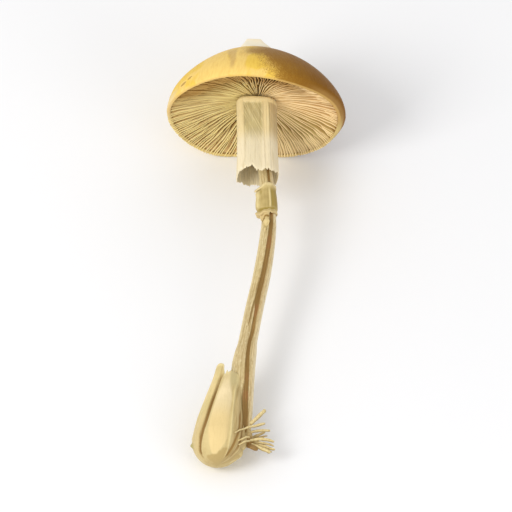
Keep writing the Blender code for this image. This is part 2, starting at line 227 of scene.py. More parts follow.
class Mat:
    """A Principled material and short ways to wire its pattern."""

    def __init__(self, name, roughness=0.6, **shader):
        self.mat = bpy.data.materials.new(name)
        self.mat.use_nodes = True
        self.tree = self.mat.node_tree
        self.bsdf = self.tree.nodes["Principled BSDF"]
        self.bsdf.inputs["Roughness"].default_value = roughness
        for key, value in shader.items():
            self.bsdf.inputs[key.replace("_", " ")].default_value = value

    def put(self, socket, value):
        if isinstance(value, bpy.types.NodeSocket):
            self.tree.links.new(value, socket)
        elif value is not None:
            socket.default_value = value

    def new(self, kind, **settings):
        node = self.tree.nodes.new(kind)
        for key, value in settings.items():
            setattr(node, key, value)
        return node

    def attr(self, name):
        return self.new("ShaderNodeAttribute", attribute_name=name).outputs["Vector"]

    def xyz(self, vector):
        node = self.new("ShaderNodeSeparateXYZ")
        self.put(node.inputs[0], vector)
        return node.outputs

    def vec(self, x, y, z):
        node = self.new("ShaderNodeCombineXYZ")
        for socket, value in zip(node.inputs, (x, y, z)):
            self.put(socket, value)
        return node.outputs[0]

    def math(self, how, a, b=None, c=None, clamp=False):
        node = self.new("ShaderNodeMath", operation=how, use_clamp=clamp)
        for socket, value in zip(node.inputs, (a, b, c)):
            self.put(socket, value)
        return node.outputs[0]

    def add(self, *values):
        out = values[0]
        for v in values[1:]:
            out = self.math("ADD", out, v)
        return out

    def mul(self, *values, clamp=False):
        out = values[0]
        for v in values[1:]:
            out = self.math("MULTIPLY", out, v, clamp=clamp)
        return out

    def scaled(self, vector, x, y, z):
        node = self.new("ShaderNodeVectorMath", operation="MULTIPLY")
        self.put(node.inputs[0], vector)
        node.inputs[1].default_value = (x, y, z)
        return node.outputs[0]

    def smooth(self, value, low, high, to_low=0.0, to_high=1.0):
        node = self.new("ShaderNodeMapRange", interpolation_type="SMOOTHSTEP", clamp=True)
        for socket, v in zip(node.inputs[:5], (value, low, high, to_low, to_high)):
            self.put(socket, v)
        return node.outputs[0]

    def noise(self, vector, scale, detail=2.0, rough=0.5, distortion=0.0):
        node = self.new("ShaderNodeTexNoise", noise_dimensions="3D")
        self.put(node.inputs["Vector"], vector)
        for key, v in (("Scale", scale), ("Detail", detail), ("Roughness", rough), ("Distortion", distortion)):
            node.inputs[key].default_value = v
        return node.outputs["Fac"]

    def mix(self, factor, a, b, how="MIX"):
        node = self.new("ShaderNodeMix", data_type="RGBA", blend_type=how, clamp_factor=True)
        self.put(node.inputs[0], factor)
        self.put(node.inputs[6], a)
        self.put(node.inputs[7], b)
        return node.outputs[2]

    def ramp(self, factor, stops):
        node = self.new("ShaderNodeValToRGB")
        node.color_ramp.interpolation = "LINEAR"
        bar = node.color_ramp.elements
        while len(bar) > 1:
            bar.remove(bar[-1])
        bar[0].position, bar[0].color = stops[0]
        for at, colour in stops[1:]:
            bar.new(at).color = colour
        self.put(node.inputs[0], factor)
        return node.outputs[0]

    def bump(self, height, strength, distance):
        node = self.new("ShaderNodeBump")
        node.inputs["Strength"].default_value = strength
        node.inputs["Distance"].default_value = distance
        self.put(node.inputs["Height"], height)
        self.tree.links.new(node.outputs[0], self.bsdf.inputs["Normal"])
        return node

    def colour(self, value):
        self.put(self.bsdf.inputs["Base Color"], value)

    def rough(self, value):
        self.put(self.bsdf.inputs["Roughness"], value)


def cap_skin():
    m = Mat("golden_skin", 0.5, Sheen_Weight=0.14, Sheen_Roughness=0.12)
    m.bsdf.inputs["Sheen Tint"].default_value = srgb(255, 236, 200)
    m.bsdf.inputs["Specular IOR Level"].default_value = 0.07
    loc = m.attr("loc")
    x, y, z = m.xyz(loc)
    rad = m.attr("rad")
    cloud = m.noise(loc, 0.085, 3.0, 0.55)
    streak = m.noise(m.scaled(rad, 9.0, 9.0, 1.2), 1.0, 3.0, 0.6, 0.3)
    fibre = m.noise(m.scaled(rad, 46.0, 46.0, 2.6), 1.0, 3.0, 0.6)
    grain = m.noise(loc, 1.9, 2.0, 0.7)
    # painted shade: the cap browns towards its right and over the top, the side away from the light, along a front that
    # slants over the cap from the rim to the left of the top
    shade_front = m.add(x, m.mul(m.math("MINIMUM", z, 18.0), 0.4), m.mul(m.math("MAXIMUM", m.add(z, -18.0), 0.0), 0.25), -10.0)
    shade_front = m.add(shade_front, m.mul(m.add(cloud, -0.5), 9.0), m.mul(m.add(streak, -0.5), 9.0), m.mul(m.add(grain, -0.5), 15.0))
    side = m.math("MULTIPLY", m.add(shade_front, 5.8), 1 / 29.0, clamp=True)
    skin = m.ramp(side, [
        (0.0, srgb(242, 205, 92)), (0.06, srgb(238, 200, 88)), (0.13, srgb(222, 182, 84)), (0.22, srgb(184, 142, 62)),
        (0.31, srgb(164, 121, 46)), (0.56, srgb(150, 106, 36)), (0.78, srgb(142, 99, 34)), (1.0, srgb(136, 93, 30)),
    ])
    uneven = m.add(z, m.mul(m.add(cloud, -0.5), 5.0), m.mul(m.add(streak, -0.5), 5.0), m.mul(m.add(grain, -0.5), 3.0))
    # painted shade: a brown band just below the umbo, on the near side
    umbo_shade = m.mul(m.smooth(uneven, 10.5, 16.0), m.smooth(uneven, 26.0, 18.0), m.smooth(y, 0.0, -14.0), m.smooth(m.math("ABSOLUTE", m.add(x, -4.0, m.mul(m.add(grain, -0.5), 5.0), m.mul(m.add(streak, -0.5), 5.0))), 13.0, 5.0))
    # painted highlights: pale patches on the golden side
    bed = m.add(m.noise(m.scaled(rad, 4.1, 4.1, 0.9), 1.0, 2.0, 0.5, 0.2), m.mul(m.smooth(m.math("ABSOLUTE", m.add(x, 14.0)), 13.0, 5.0), 0.22))
    pale = m.mul(m.smooth(bed, 0.52, 0.62), m.smooth(side, 0.22, 0.02))
    skin = m.mix(m.mul(pale, 0.8), skin, srgb(248, 214, 130))
    deep = m.mul(m.smooth(bed, 0.44, 0.34), m.smooth(side, 0.22, 0.02))
    skin = m.mix(m.mul(deep, 0.35), skin, srgb(240, 200, 84))
    # one greyish wedge that narrows towards the margin
    off = m.math("ABSOLUTE", m.add(x, 11.0, m.mul(m.add(streak, -0.5), 2.4), m.mul(m.add(grain, -0.5), 2.0)))
    wedge = m.mul(m.smooth(m.add(off, m.mul(z, -0.10)), 1.1, -0.2), m.smooth(z, 2.2, 6.0), m.smooth(z, 24.0, 17.0), m.smooth(y, 0.0, -12.0))
    skin = m.mix(m.mul(wedge, 0.62), skin, srgb(206, 170, 108))
    skin = m.mix(m.mul(umbo_shade, 0.8), skin, srgb(156, 116, 54))
    # fibrils, grain and brown flecks
    skin = m.mix(m.smooth(fibre, 0.35, 0.75, 0.0, 0.22), skin, m.mix(1.0, skin, srgb(214, 176, 112), "MULTIPLY"))
    speck = m.mul(m.smooth(m.noise(loc, 2.6, 1.0, 0.5), 0.60, 0.72), m.smooth(side, 0.06, 0.30))
    skin = m.mix(m.mul(speck, 0.5), skin, srgb(122, 82, 30))
    bearing = m.math("ARCTAN2", y, x)
    for at, high, long, tall in ((-145.0, 3.7, 2.0, 0.8), (-139.0, 5.2, 1.5, 0.7), (-171.0, 9.0, 1.6, 0.8), (38.0, 12.0, 2.2, 0.9), (121.0, 17.0, 1.8, 0.8)):
        across = m.mul(m.add(bearing, -math.radians(at)), 38.0 / long)
        up = m.mul(m.add(z, -high, m.mul(across, -0.35)), 1 / tall)
        spot = m.smooth(m.add(m.mul(across, across), m.mul(up, up), m.mul(m.add(grain, -0.5), 1.6)), 1.1, 0.5)
        skin = m.mix(m.mul(spot, 0.62), skin, srgb(150, 104, 40))
    # the margin: pale and a little pink at the left, tan at the right, and the edge under the cap
    left = m.smooth(x, -33.0, -37.5)
    right = m.smooth(x, 22.0, 32.0)
    skin = m.mix(m.mul(left, m.smooth(z, 5.5, 1.5), 0.8), skin, srgb(232, 210, 162))
    skin = m.mix(m.mul(right, m.smooth(z, 2.8, 0.8), 0.4), skin, srgb(196, 156, 92))
    behind = m.smooth(y, -6.0, 8.0)
    skin = m.mix(m.mul(m.smooth(z, 1.6, 0.4), behind, 0.9), skin, srgb(216, 192, 128))
    skin = m.mix(m.mul(m.smooth(z, 0.5, 0.1), m.smooth(behind, 1.0, 0.0), 0.6), skin, srgb(222, 184, 112))
    # pale umbo with a darker ring round its foot
    r = m.math("SQRT", m.add(m.mul(x, x), m.mul(y, y)))
    ring = m.mul(m.smooth(r, 21.0, 12.5), m.smooth(r, 10.0, 12.0))
    skin = m.mix(m.mul(ring, 0.5), skin, srgb(160, 116, 50))
    knob = m.smooth(m.add(r, m.mul(m.add(grain, -0.5), 1.6), m.mul(m.add(cloud, -0.5), 3.0), m.mul(m.add(streak, -0.5), 3.0)), 12.8, 8.2)
    skin = m.mix(knob, skin, m.mix(m.smooth(cloud, 0.3, 0.7), srgb(255, 247, 224), srgb(255, 242, 212)))
    # underside of the flesh, between the gills
    under = m.xyz(m.attr("side"))[0]
    skin = m.mix(under, skin, srgb(150, 118, 66))
    m.colour(skin)
    m.rough(m.add(0.42, m.mul(fibre, 0.2), m.mul(knob, 0.18)))
    m.bump(m.add(m.mul(fibre, 0.6), m.mul(grain, 0.25), m.mul(cloud, 0.8)), 0.35, 0.0006)
    return m.mat


def gill_skin():
    m = Mat("gill_tissue_look", 0.8)
    m.bsdf.inputs["Specular IOR Level"].default_value = 0.12
    loc = m.attr("loc")
    x, y, z = m.xyz(loc)
    depth, radius, chance = m.xyz(m.attr("pat"))
    cloud = m.noise(loc, 0.11, 2.0, 0.5)
    fine = m.noise(m.vec(m.mul(radius, 0.12), m.mul(chance, 40.0), m.mul(depth, 3.0)), 1.0, 2.0, 0.6)
    near = m.mul(y, -1.0)
    # painted shade: the lamellae turn brown under the near margin, where the cap overhangs them
    upper = m.mul(m.smooth(near, 2.0, 18.0), m.smooth(m.add(radius, m.mul(cloud, 6.0)), 20.0, 34.0), m.smooth(x, 26.0, 14.0))
    rosy = m.mul(m.smooth(x, 3.0, 13.0), m.smooth(near, -14.0, 6.0))
    side = m.mix(m.smooth(cloud, 0.35, 0.7), srgb(212, 188, 118), srgb(200, 168, 100))
    side = m.mix(m.mul(rosy, 0.8), side, srgb(228, 186, 128))
    side = m.mix(m.mul(upper, 0.95), side, srgb(138, 96, 40))
    deep = m.mix(upper, m.mix(rosy, srgb(188, 152, 88), srgb(180, 124, 68)), srgb(112, 76, 30))
    # painted light: paler towards the lit left and towards the side that lies low
    light = m.math("MAXIMUM", m.mul(m.smooth(x, -6.0, -20.0), m.smooth(near, 16.0, 2.0)), m.smooth(near, -8.0, -30.0))
    side = m.mix(m.mul(light, 0.85), side, srgb(236, 216, 160))
    deep = m.mix(m.mul(light, 0.85), deep, srgb(212, 182, 120))
    low = m.smooth(near, -18.0, -32.0)
    side = m.mix(low, side, srgb(250, 232, 184))
    deep = m.mix(low, deep, srgb(232, 206, 152))
    edge = m.mix(m.smooth(m.add(x, m.mul(cloud, 10.0)), -6.0, 12.0), srgb(240, 222, 154), srgb(253, 228, 176))
    edge = m.mix(m.mul(upper, 0.85), edge, srgb(190, 146, 76))
    # painted shade: the colour darkens deeper between the lamellae
    tuck = m.smooth(m.add(depth, m.mul(m.add(fine, -0.5), 0.2)), 0.15, 0.85)
    shade = m.mix(tuck, side, deep)
    shade = m.mix(m.smooth(m.add(depth, m.mul(m.add(fine, -0.5), 0.16)), 0.02, 0.20), edge, shade)
    # some lamellae have browner edges, and some are browner along a part of their length
    worn = m.mul(m.smooth(chance, 0.55, 0.85), m.smooth(fine, 0.40, 0.62))
    shade = m.mix(m.mul(worn, 0.4), shade, srgb(160, 118, 58))
    shade = m.mix(m.smooth(fine, 0.5, 0.75, 0.0, 0.22), shade, m.mix(1.0, shade, srgb(214, 180, 120), "MULTIPLY"))
    m.colour(shade)
    m.bump(fine, 0.25, 0.0003)
    return m.mat


def stem_skin():
    m = Mat("stem_fibre_look", 0.62, Sheen_Weight=0.12, Sheen_Roughness=0.4)
    m.bsdf.inputs["Sheen Tint"].default_value = srgb(255, 244, 214)
    m.bsdf.inputs["Specular IOR Level"].default_value = 0.3
    loc = m.attr("loc")
    x, y, z = m.xyz(loc)
    rad = m.attr("rad")
    shade_line, fork, right = m.xyz(m.attr("pat"))
    turn_r = m.xyz(rad)[0]
    fibre = m.noise(m.scaled(rad, 9.0, 9.0, 0.05), 1.0, 4.0, 0.65)
    thread = m.noise(m.scaled(rad, 26.0, 26.0, 0.16), 1.0, 3.0, 0.6)
    cloud = m.noise(loc, 0.11, 3.0, 0.5)
    grain = m.noise(loc, 1.7, 2.0, 0.6)
    base = m.mix(m.smooth(cloud, 0.35, 0.68), srgb(222, 200, 142), srgb(206, 190, 134))
    base = m.mix(m.mul(right, 0.6), base, srgb(230, 202, 152))
    dull = m.mul(m.smooth(z, -84.0, -96.0), m.smooth(z, -136.0, -126.0), m.smooth(turn_r, 0.4, 0.0))
    base = m.mix(m.mul(dull, 0.75), base, srgb(188, 168, 122))
    # painted light: paler down the stem's lit left side
    base = m.mix(m.mul(m.smooth(turn_r, -0.62, -0.96), 0.7), base, srgb(250, 236, 186))
    base = m.mix(m.smooth(fibre, 0.36, 0.66), m.mix(0.55, base, srgb(238, 220, 172)), m.mix(0.5, base, srgb(162, 132, 82)))
    base = m.mix(m.smooth(thread, 0.50, 0.72, 0.0, 0.45), base, srgb(172, 142, 92))
    # painted highlight: a pale strip down the stem's right edge, standing in for reflected light
    edge = m.smooth(turn_r, 0.75, 0.98)
    base = m.mix(m.mul(edge, 0.5), base, srgb(250, 238, 204))
    blot = m.noise(m.scaled(rad, 5.0, 5.0, 0.45), 1.0, 3.0, 0.65)
    base = m.mix(m.smooth(blot, 0.50, 0.64, 0.0, 0.5), base, srgb(186, 160, 108))
    base = m.mix(m.smooth(blot, 0.46, 0.34, 0.0, 0.45), base, srgb(238, 224, 182))
    # painted shade: a brown streak and a thinner fork down the stem's right side stand in for its core shadow
    wob = m.add(m.mul(m.add(fibre, -0.5), 0.55), m.mul(m.add(thread, -0.5), 0.5))
    streak = m.smooth(m.add(m.math("ABSOLUTE", m.add(shade_line, wob)), m.mul(m.add(grain, -0.5), 0.35)), 1.15, 0.62)
    fork_shade = m.smooth(m.add(m.math("ABSOLUTE", m.add(fork, m.mul(wob, 0.8))), m.mul(m.add(grain, -0.5), 0.3)), 1.1, 0.55)
    red = m.mul(m.smooth(m.noise(m.vec(0.0, 0.0, z), 0.085, 1.0, 0.5), 0.52, 0.62), m.smooth(z, -20.0, -70.0))
    brown = m.mix(m.mul(red, 0.9), srgb(134, 100, 42), srgb(148, 98, 48))
    brown = m.mix(m.smooth(thread, 0.46, 0.62, 0.0, 0.6), brown, srgb(124, 90, 38))
    brown = m.mix(m.smooth(fibre, 0.52, 0.66, 0.0, 0.45), brown, srgb(186, 148, 88))
    base = m.mix(m.mul(streak, 0.95), base, brown)
    base = m.mix(m.mul(fork_shade, 0.85), base, srgb(138, 108, 54))
    m.colour(base)
    m.bump(m.add(m.mul(fibre, 1.0), m.mul(thread, 0.6), m.mul(grain, 0.15)), 0.45, 0.0006)
    return m.mat


def ring_skin():
    m = Mat("ring_membrane_look", 0.68, Sheen_Weight=0.12, Sheen_Roughness=0.4)
    m.bsdf.inputs["Subsurface Weight"].default_value = 0.0
    m.bsdf.inputs["Specular IOR Level"].default_value = 0.25
    loc = m.attr("loc")
    x, y, z = m.xyz(loc)
    rad = m.attr("rad")
    ridge, low, right = m.xyz(m.attr("pat"))
    cloud = m.noise(loc, 0.2, 2.0, 0.5)
    pleat = m.noise(m.scaled(rad, 13.0, 13.0, 0.10), 1.0, 3.0, 0.6)
    thread = m.noise(m.scaled(rad, 40.0, 40.0, 0.35), 1.0, 2.0, 0.6)
    slant = m.noise(m.vec(m.mul(m.add(x, m.mul(z, 0.45)), 1.5), m.mul(y, 0.3), m.mul(z, 0.06)), 1.0, 2.0, 0.5)
    base = m.mix(m.smooth(cloud, 0.35, 0.7), srgb(206, 190, 138), srgb(214, 198, 142))
    base = m.mix(m.smooth(slant, 0.55, 0.66, 0.0, 0.6), base, srgb(240, 224, 172))
    base = m.mix(m.smooth(slant, 0.44, 0.34, 0.0, 0.35), base, srgb(184, 166, 112))
    # painted shade: greyer tan down the right side
    base = m.mix(m.mul(right, 0.75), base, srgb(212, 186, 138))
    base = m.mix(ridge, base, srgb(246, 226, 172))
    base = m.mix(m.smooth(low, 0.15, 0.9, 0.0, 0.75), base, srgb(246, 234, 204))
    base = m.mix(m.smooth(pleat, 0.52, 0.72, 0.0, 0.35), base, srgb(190, 168, 112))
    base = m.mix(m.smooth(pleat, 0.42, 0.28, 0.0, 0.35), base, srgb(250, 238, 198))
    base = m.mix(m.smooth(thread, 0.55, 0.75, 0.0, 0.25), base, srgb(190, 166, 112))
    m.colour(base)
    m.bump(m.add(pleat, m.mul(thread, 0.5)), 0.4, 0.0005)
    return m.mat


def cuff_skin():
    m = Mat("cuff_membrane_look", 0.62, Sheen_Weight=0.12, Sheen_Roughness=0.4)
    m.bsdf.inputs["Specular IOR Level"].default_value = 0.28
    loc = m.attr("loc")
    x, y, z = m.xyz(loc)
    rad = m.attr("rad")
    roll, olive_and_shade, fold = m.xyz(m.attr("pat"))
    cloud = m.noise(loc, 0.28, 3.0, 0.55)
    fibre = m.noise(m.scaled(rad, 8.0, 8.0, 0.16), 1.0, 3.0, 0.6)
    thread = m.noise(m.scaled(rad, 24.0, 24.0, 0.5), 1.0, 2.0, 0.6)
    base = m.mix(m.smooth(cloud, 0.35, 0.7), srgb(204, 182, 122), srgb(190, 168, 108))
    # olive tone, and painted shade down the cuff's right side
    base = m.mix(m.mul(olive_and_shade, 0.9), base, srgb(164, 140, 66))
    base = m.mix(m.mul(roll, 0.85), base, m.mix(m.smooth(z, -46.0, -42.0), srgb(220, 196, 142), srgb(240, 220, 166)))
    base = m.mix(m.mul(fold, 0.8), base, srgb(240, 222, 162))
    # painted shadow: brown where the second channel rises past 1, under the collars and to the right of the knob
    base = m.mix(m.smooth(olive_and_shade, 1.1, 1.9), base, srgb(150, 116, 60))
    base = m.mix(m.smooth(fibre, 0.54, 0.76, 0.0, 0.45), base, srgb(168, 140, 76))
    base = m.mix(m.smooth(thread, 0.55, 0.78, 0.0, 0.30), base, srgb(160, 132, 76))
    m.colour(base)
    m.bump(m.add(fibre, m.mul(thread, 0.5)), 0.4, 0.0005)
    return m.mat


def volva_skin():
    m = Mat("volva_membrane_look", 0.66, Sheen_Weight=0.15, Sheen_Roughness=0.4)
    m.bsdf.inputs["Sheen Tint"].default_value = srgb(255, 244, 214)
    m.bsdf.inputs["Specular IOR Level"].default_value = 0.28
    loc = m.attr("loc")
    x, y, z = m.xyz(loc)
    rad = m.attr("rad")
    crease, lobe, belly_highlight = m.xyz(m.attr("pat"))
    tan_shade_band, streaks_and_shade, edge = m.xyz(m.attr("pat2"))
    cloud = m.noise(loc, 0.12, 3.0, 0.55)
    fibre = m.noise(m.scaled(rad, 10.0, 10.0, 0.06), 1.0, 3.0, 0.6)
    thread = m.noise(m.scaled(rad, 34.0, 34.0, 0.22), 1.0, 3.0, 0.6)
    grain = m.noise(loc, 1.6, 2.0, 0.6)
    base = m.mix(m.smooth(cloud, 0.35, 0.7), srgb(216, 196, 140), srgb(204, 182, 126))
    # painted highlight: the front of the bulge is pale cream, less so lower down
    base = m.mix(m.smooth(m.add(belly_highlight, m.mul(m.add(cloud, -0.5), 0.25), m.mul(m.add(fibre, -0.5), 0.30)), 0.20, 0.80), base,
                 m.mix(m.smooth(z, -150.0, -162.0), m.mix(m.smooth(cloud, 0.38, 0.62), srgb(244, 224, 178), srgb(234, 214, 166)), srgb(232, 207, 148)))
    pale = m.mix(m.smooth(cloud, 0.42, 0.6), srgb(234, 211, 152), srgb(220, 201, 141))
    base = m.mix(m.mul(lobe, 0.9), base, m.mix(m.smooth(z, -150.0, -168.0, 0.0, 0.8), m.mix(m.smooth(z, -136.0, -131.0, 0.0, 0.8), pale, srgb(212, 192, 132)), srgb(206, 184, 132)))
    beside = m.mul(m.smooth(z, -146.0, -137.0), m.smooth(m.xyz(rad)[0], 0.06, 0.20), m.smooth(m.xyz(rad)[1], -0.45, -0.65))
    base = m.mix(m.mul(beside, 0.7), base, srgb(208, 194, 144))
    aside, above = m.mul(m.add(m.xyz(rad)[1], 0.07), 11.0), m.add(z, 169.6)
    apart = m.add(m.math("SQRT", m.add(m.mul(aside, aside), m.mul(above, above))), m.mul(m.add(grain, -0.5), 1.4), m.mul(m.add(fibre, -0.5), 1.2))
    spur = m.mul(m.smooth(apart, 2.3, 0.5), m.smooth(m.xyz(rad)[0], -0.5, -0.8))
    base = m.mix(m.mul(spur, 0.85), base, srgb(168, 160, 104))
    # painted shade: tan along the sac's bottom, its right part and either side of the torn edge
    base = m.mix(m.smooth(m.add(tan_shade_band, m.mul(m.add(cloud, -0.5), 0.2), m.mul(m.add(fibre, -0.5), 0.25)), 0.25, 0.75, 0.0, 0.85), base, srgb(186, 160, 102))
    cosine, sine, _ = m.xyz(rad)
    stemward = m.mul(m.smooth(cosine, 0.52, 0.64), m.smooth(sine, -0.15, -0.30))
    base = m.mix(m.mul(stemward, 0.75), base, m.mix(m.smooth(fibre, 0.36, 0.66), srgb(202, 180, 130), srgb(164, 138, 86)))
    # painted shade: brown down the crease beside the lobe
    base = m.mix(m.smooth(m.add(crease, m.mul(m.add(fibre, -0.5), 0.45), m.mul(m.add(grain, -0.5), 0.25)), 0.22, 0.90, 0.0, 0.92), base, srgb(140, 104, 48))
    # painted shade: brown streaks over the foot and beside the torn edge, with a dark mark at the tooth
    base = m.mix(m.smooth(m.add(streaks_and_shade, m.mul(m.add(fibre, -0.5), 0.9), m.mul(m.add(thread, -0.5), 0.5)), 0.35, 0.85, 0.0, 0.9), base, srgb(148, 112, 54))
    base = m.mix(m.mul(edge, 0.85), base, srgb(240, 224, 168))
    base = m.mix(m.smooth(thread, 0.54, 0.78, 0.0, 0.22), base, srgb(176, 150, 96))
    base = m.mix(m.smooth(grain, 0.62, 0.75, 0.0, 0.15), base, srgb(170, 140, 86))
    m.colour(base)
    m.bump(m.add(m.mul(fibre, 0.8), m.mul(thread, 0.6), m.mul(cloud, 0.6), m.mul(grain, 0.2)), 0.4, 0.0006)
    return m.mat


def root_skin():
    m = Mat("rootlet_look", 0.7, Sheen_Weight=0.1)
    m.bsdf.inputs["Specular IOR Level"].default_value = 0.25
    loc = m.attr("loc")
    along, across, dark = m.xyz(m.attr("pat"))
    fibre = m.noise(m.vec(m.mul(along, 0.6), m.mul(across, 3.0), dark), 1.6, 3.0, 0.6)
    base = m.mix(m.smooth(fibre, 0.38, 0.66), srgb(240, 222, 168), srgb(206, 182, 120))
    # painted shade: darker on the side that ends up below
    base = m.mix(m.smooth(across, 0.15, 0.95, 0.0, 0.7), base, srgb(150, 122, 60))
    base = m.mix(dark, base, srgb(140, 103, 50))
    m.colour(base)
    m.bump(fibre, 0.5, 0.0004)
    return m.mat


# ------------------------------------------------------------------ cap
def margin(bearing):
    off = turn_to(np.degrees(bearing), MARGIN_BAY)
    bay = 0.115 * np.exp(-((off / 18.0) ** 2))
    return 1.005 - bay + 0.006 * np.cos(3 * bearing + 0.5) + 0.004 * np.cos(5 * bearing + 2.1)


def cap_shape(p):
    x, y, z = p[..., 0], p[..., 1], p[..., 2]
    bearing = np.arctan2(y, x)
    near_rim = np.clip(1 - z / (DOME_LOW + DOME_H), 0, 1) ** 1.3
    k = 1 + (margin(bearing) - 1) * near_rim
    lift = 0.4 * np.cos(4 * bearing + 1.1) * near_rim * (np.hypot(x, y) / RIM_R) ** 3
    shift = DOME_SHIFT * np.clip(z / DOME_LOW, 0, 1) - 0.029 * z - 1.2 * np.clip((z - 30.0) / 9.5, 0, None)
    x, y, z = x * k + shift, y * k, z + lift
    c, s = math.cos(math.radians(CAP_TILT)), math.sin(math.radians(CAP_TILT))
    return np.stack([c * x + s * z, y, -s * x + c * z], -1)


def flesh(r):
    return 17.8 - 16.2 * (np.asarray(r) / (RIM_R - LIP)) ** 2.6


def gill_edge(r):
    return GILL_HOLLOW * (1 - (np.asarray(r) / RIM_R) ** 1.7)


def dome_z(r):
    a = np.arccos(np.clip((np.asarray(r) / DOME_R) ** (DOME_POWER / 2), 0, 1))
    return DOME_LOW + DOME_H * np.sin(a) ** (2 / DOME_POWER)


def make_cap():
    power = 2 / DOME_POWER
    out = [(0.0, 39.5), (1.2, 39.5), (2.3, 39.5), (3.0, 39.48), (3.36, 39.42), (3.56, 39.3), (3.68, 39.1)]
    for r in (3.8, 3.95, 4.15, 4.4, 4.7, 5.05, 5.45, 5.9, 6.4, 6.95, 7.55, 8.2, 8.9, 9.7, 10.6, 11.6, 12.8, 14.2):
        out.append((r, float(dome_z(r)) + 6.35 * math.exp(-(r - 3.8) / 3.3) * (1 - float(step(r, 10.5, 15.5)))))
    start = math.acos((15.6 / DOME_R) ** (DOME_POWER / 2))
    for i in range(66):
        a = start * (1 - i / 65)
        out.append((DOME_R * math.cos(a) ** power, DOME_LOW + DOME_H * math.sin(a) ** power))
    for i in range(1, 12):
        t = math.pi / 2 * i / 11
        out.append((RIM_R + (DOME_R - RIM_R) * math.cos(t), DOME_LOW * (1 - math.sin(t))))
    outer = len(out)
    out += [(38.0, -0.02), (37.82, 0.04), (37.66, 0.2), (37.55, 0.5), (37.5, 0.95)]
    for r in (37.4, 37.0, 36.2, 35.0, 33.0, 31.0, 28.5, 25.0, 21.0, 17.0, 13.0, 9.0, 6.0):
        out.append((r, float(flesh(r))))
    prof = np.array(out)
    n = 448
    th = np.linspace(0, 2 * math.pi, n, endpoint=False)
    r, z = prof[1:, 0], prof[1:, 1]
    along = np.concatenate([[0], np.cumsum(np.hypot(*np.diff(prof, axis=0).T))])[1:]
    R, T = np.meshgrid(r, th)
    Z = np.broadcast_to(z, R.shape).copy()
    S = np.broadcast_to(along, R.shape)
    low = step(Z, 14.0, 0.0) * (np.arange(len(r)) < outer - 1)
    # faint radial furrows towards the margin, and a gently uneven dome
    furrow = 0.055 * wander(T, 11, 40, 90, 0.2) * low
    uneven = 0.16 * ripple(np.cos(T) * S / 12, np.sin(T) * S / 12, 5, 12, 0.5, 2.2) * step(R, 10, 18) * (np.arange(len(r)) < outer - 1)
    lip = step(Z, 1.8, 0.0) * (R > 36.9)
    scallop = lip * (0.12 * wander(T, 3, 50, 96, 0.1) + 0.10 * wander(T, 8, 14, 30, 0.2))
    R2 = R + furrow + uneven + 0.5 * scallop
    # the umbo is a little square in plan towards the side that lies up, and its top dips that way
    peg = (1 - step(R, 5.0, 10.0)) * (np.arange(len(r)) < outer - 1)
    n_plan = 2 + 3.6 * step(-np.sin(T), -0.2, 0.4) * peg
    R2 = R2 / (np.abs(np.cos(T)) ** n_plan + np.abs(np.sin(T)) ** n_plan) ** (1 / n_plan)
    Z2 = Z + 0.3 * uneven - np.abs(scallop) * 0.5 + 0.07 * R2 * np.sin(T) * (1 - step(R, 3.6, 6.5)) * (Z > 30) + 0.05 * wander(T, 14, 3, 8, 0.3) * peg * step(R, 0.5, 3.0)
    flat = np.stack([R2 * np.cos(T) - 0.5 * peg * step(R, 0.0, 2.0), R2 * np.sin(T), Z2], -1)
    P = cap_shape(flat)
    m = len(r)
    tip = cap_shape(np.array([[0.0, 0.0, 39.5]]))
    low_tip = cap_shape(np.array([[0.0, 0.0, float(flesh(0))]]))
    pts = np.vstack([P.reshape(-1, 3), tip, low_tip])
    at = np.vstack([flat.reshape(-1, 3), [[0, 0, 39.5]], [[0, 0, 17.8]]])
    rad = np.stack([np.cos(T), np.sin(T), S / 10], -1).reshape(-1, 3)
    rad = np.vstack([rad, [[1, 0, 0]], [[1, 0, 9]]])
    under = np.broadcast_to((np.arange(m) >= outer + 3).astype(float), R.shape).reshape(-1)
    side = np.zeros((len(pts), 3))
    side[: len(under), 0] = under
    side[-1, 0] = 1
    faces = [grid(n, m, wrap_u=True), fan(np.arange(n) * m, n * m), fan(np.arange(n) * m + m - 1, n * m + 1, flip=True)]
    return piece("cap_dome", pts, faces, cap_skin(), ["cap"], {"rad": rad, "side": side}, at=at)


def gill_valley(r):
    """Height of the web between the lamellae, over their edges."""
    r = np.asarray(r, float)
    return gill_edge(r) + np.minimum(2.2, 0.66 * (flesh(r) - gill_edge(r)))


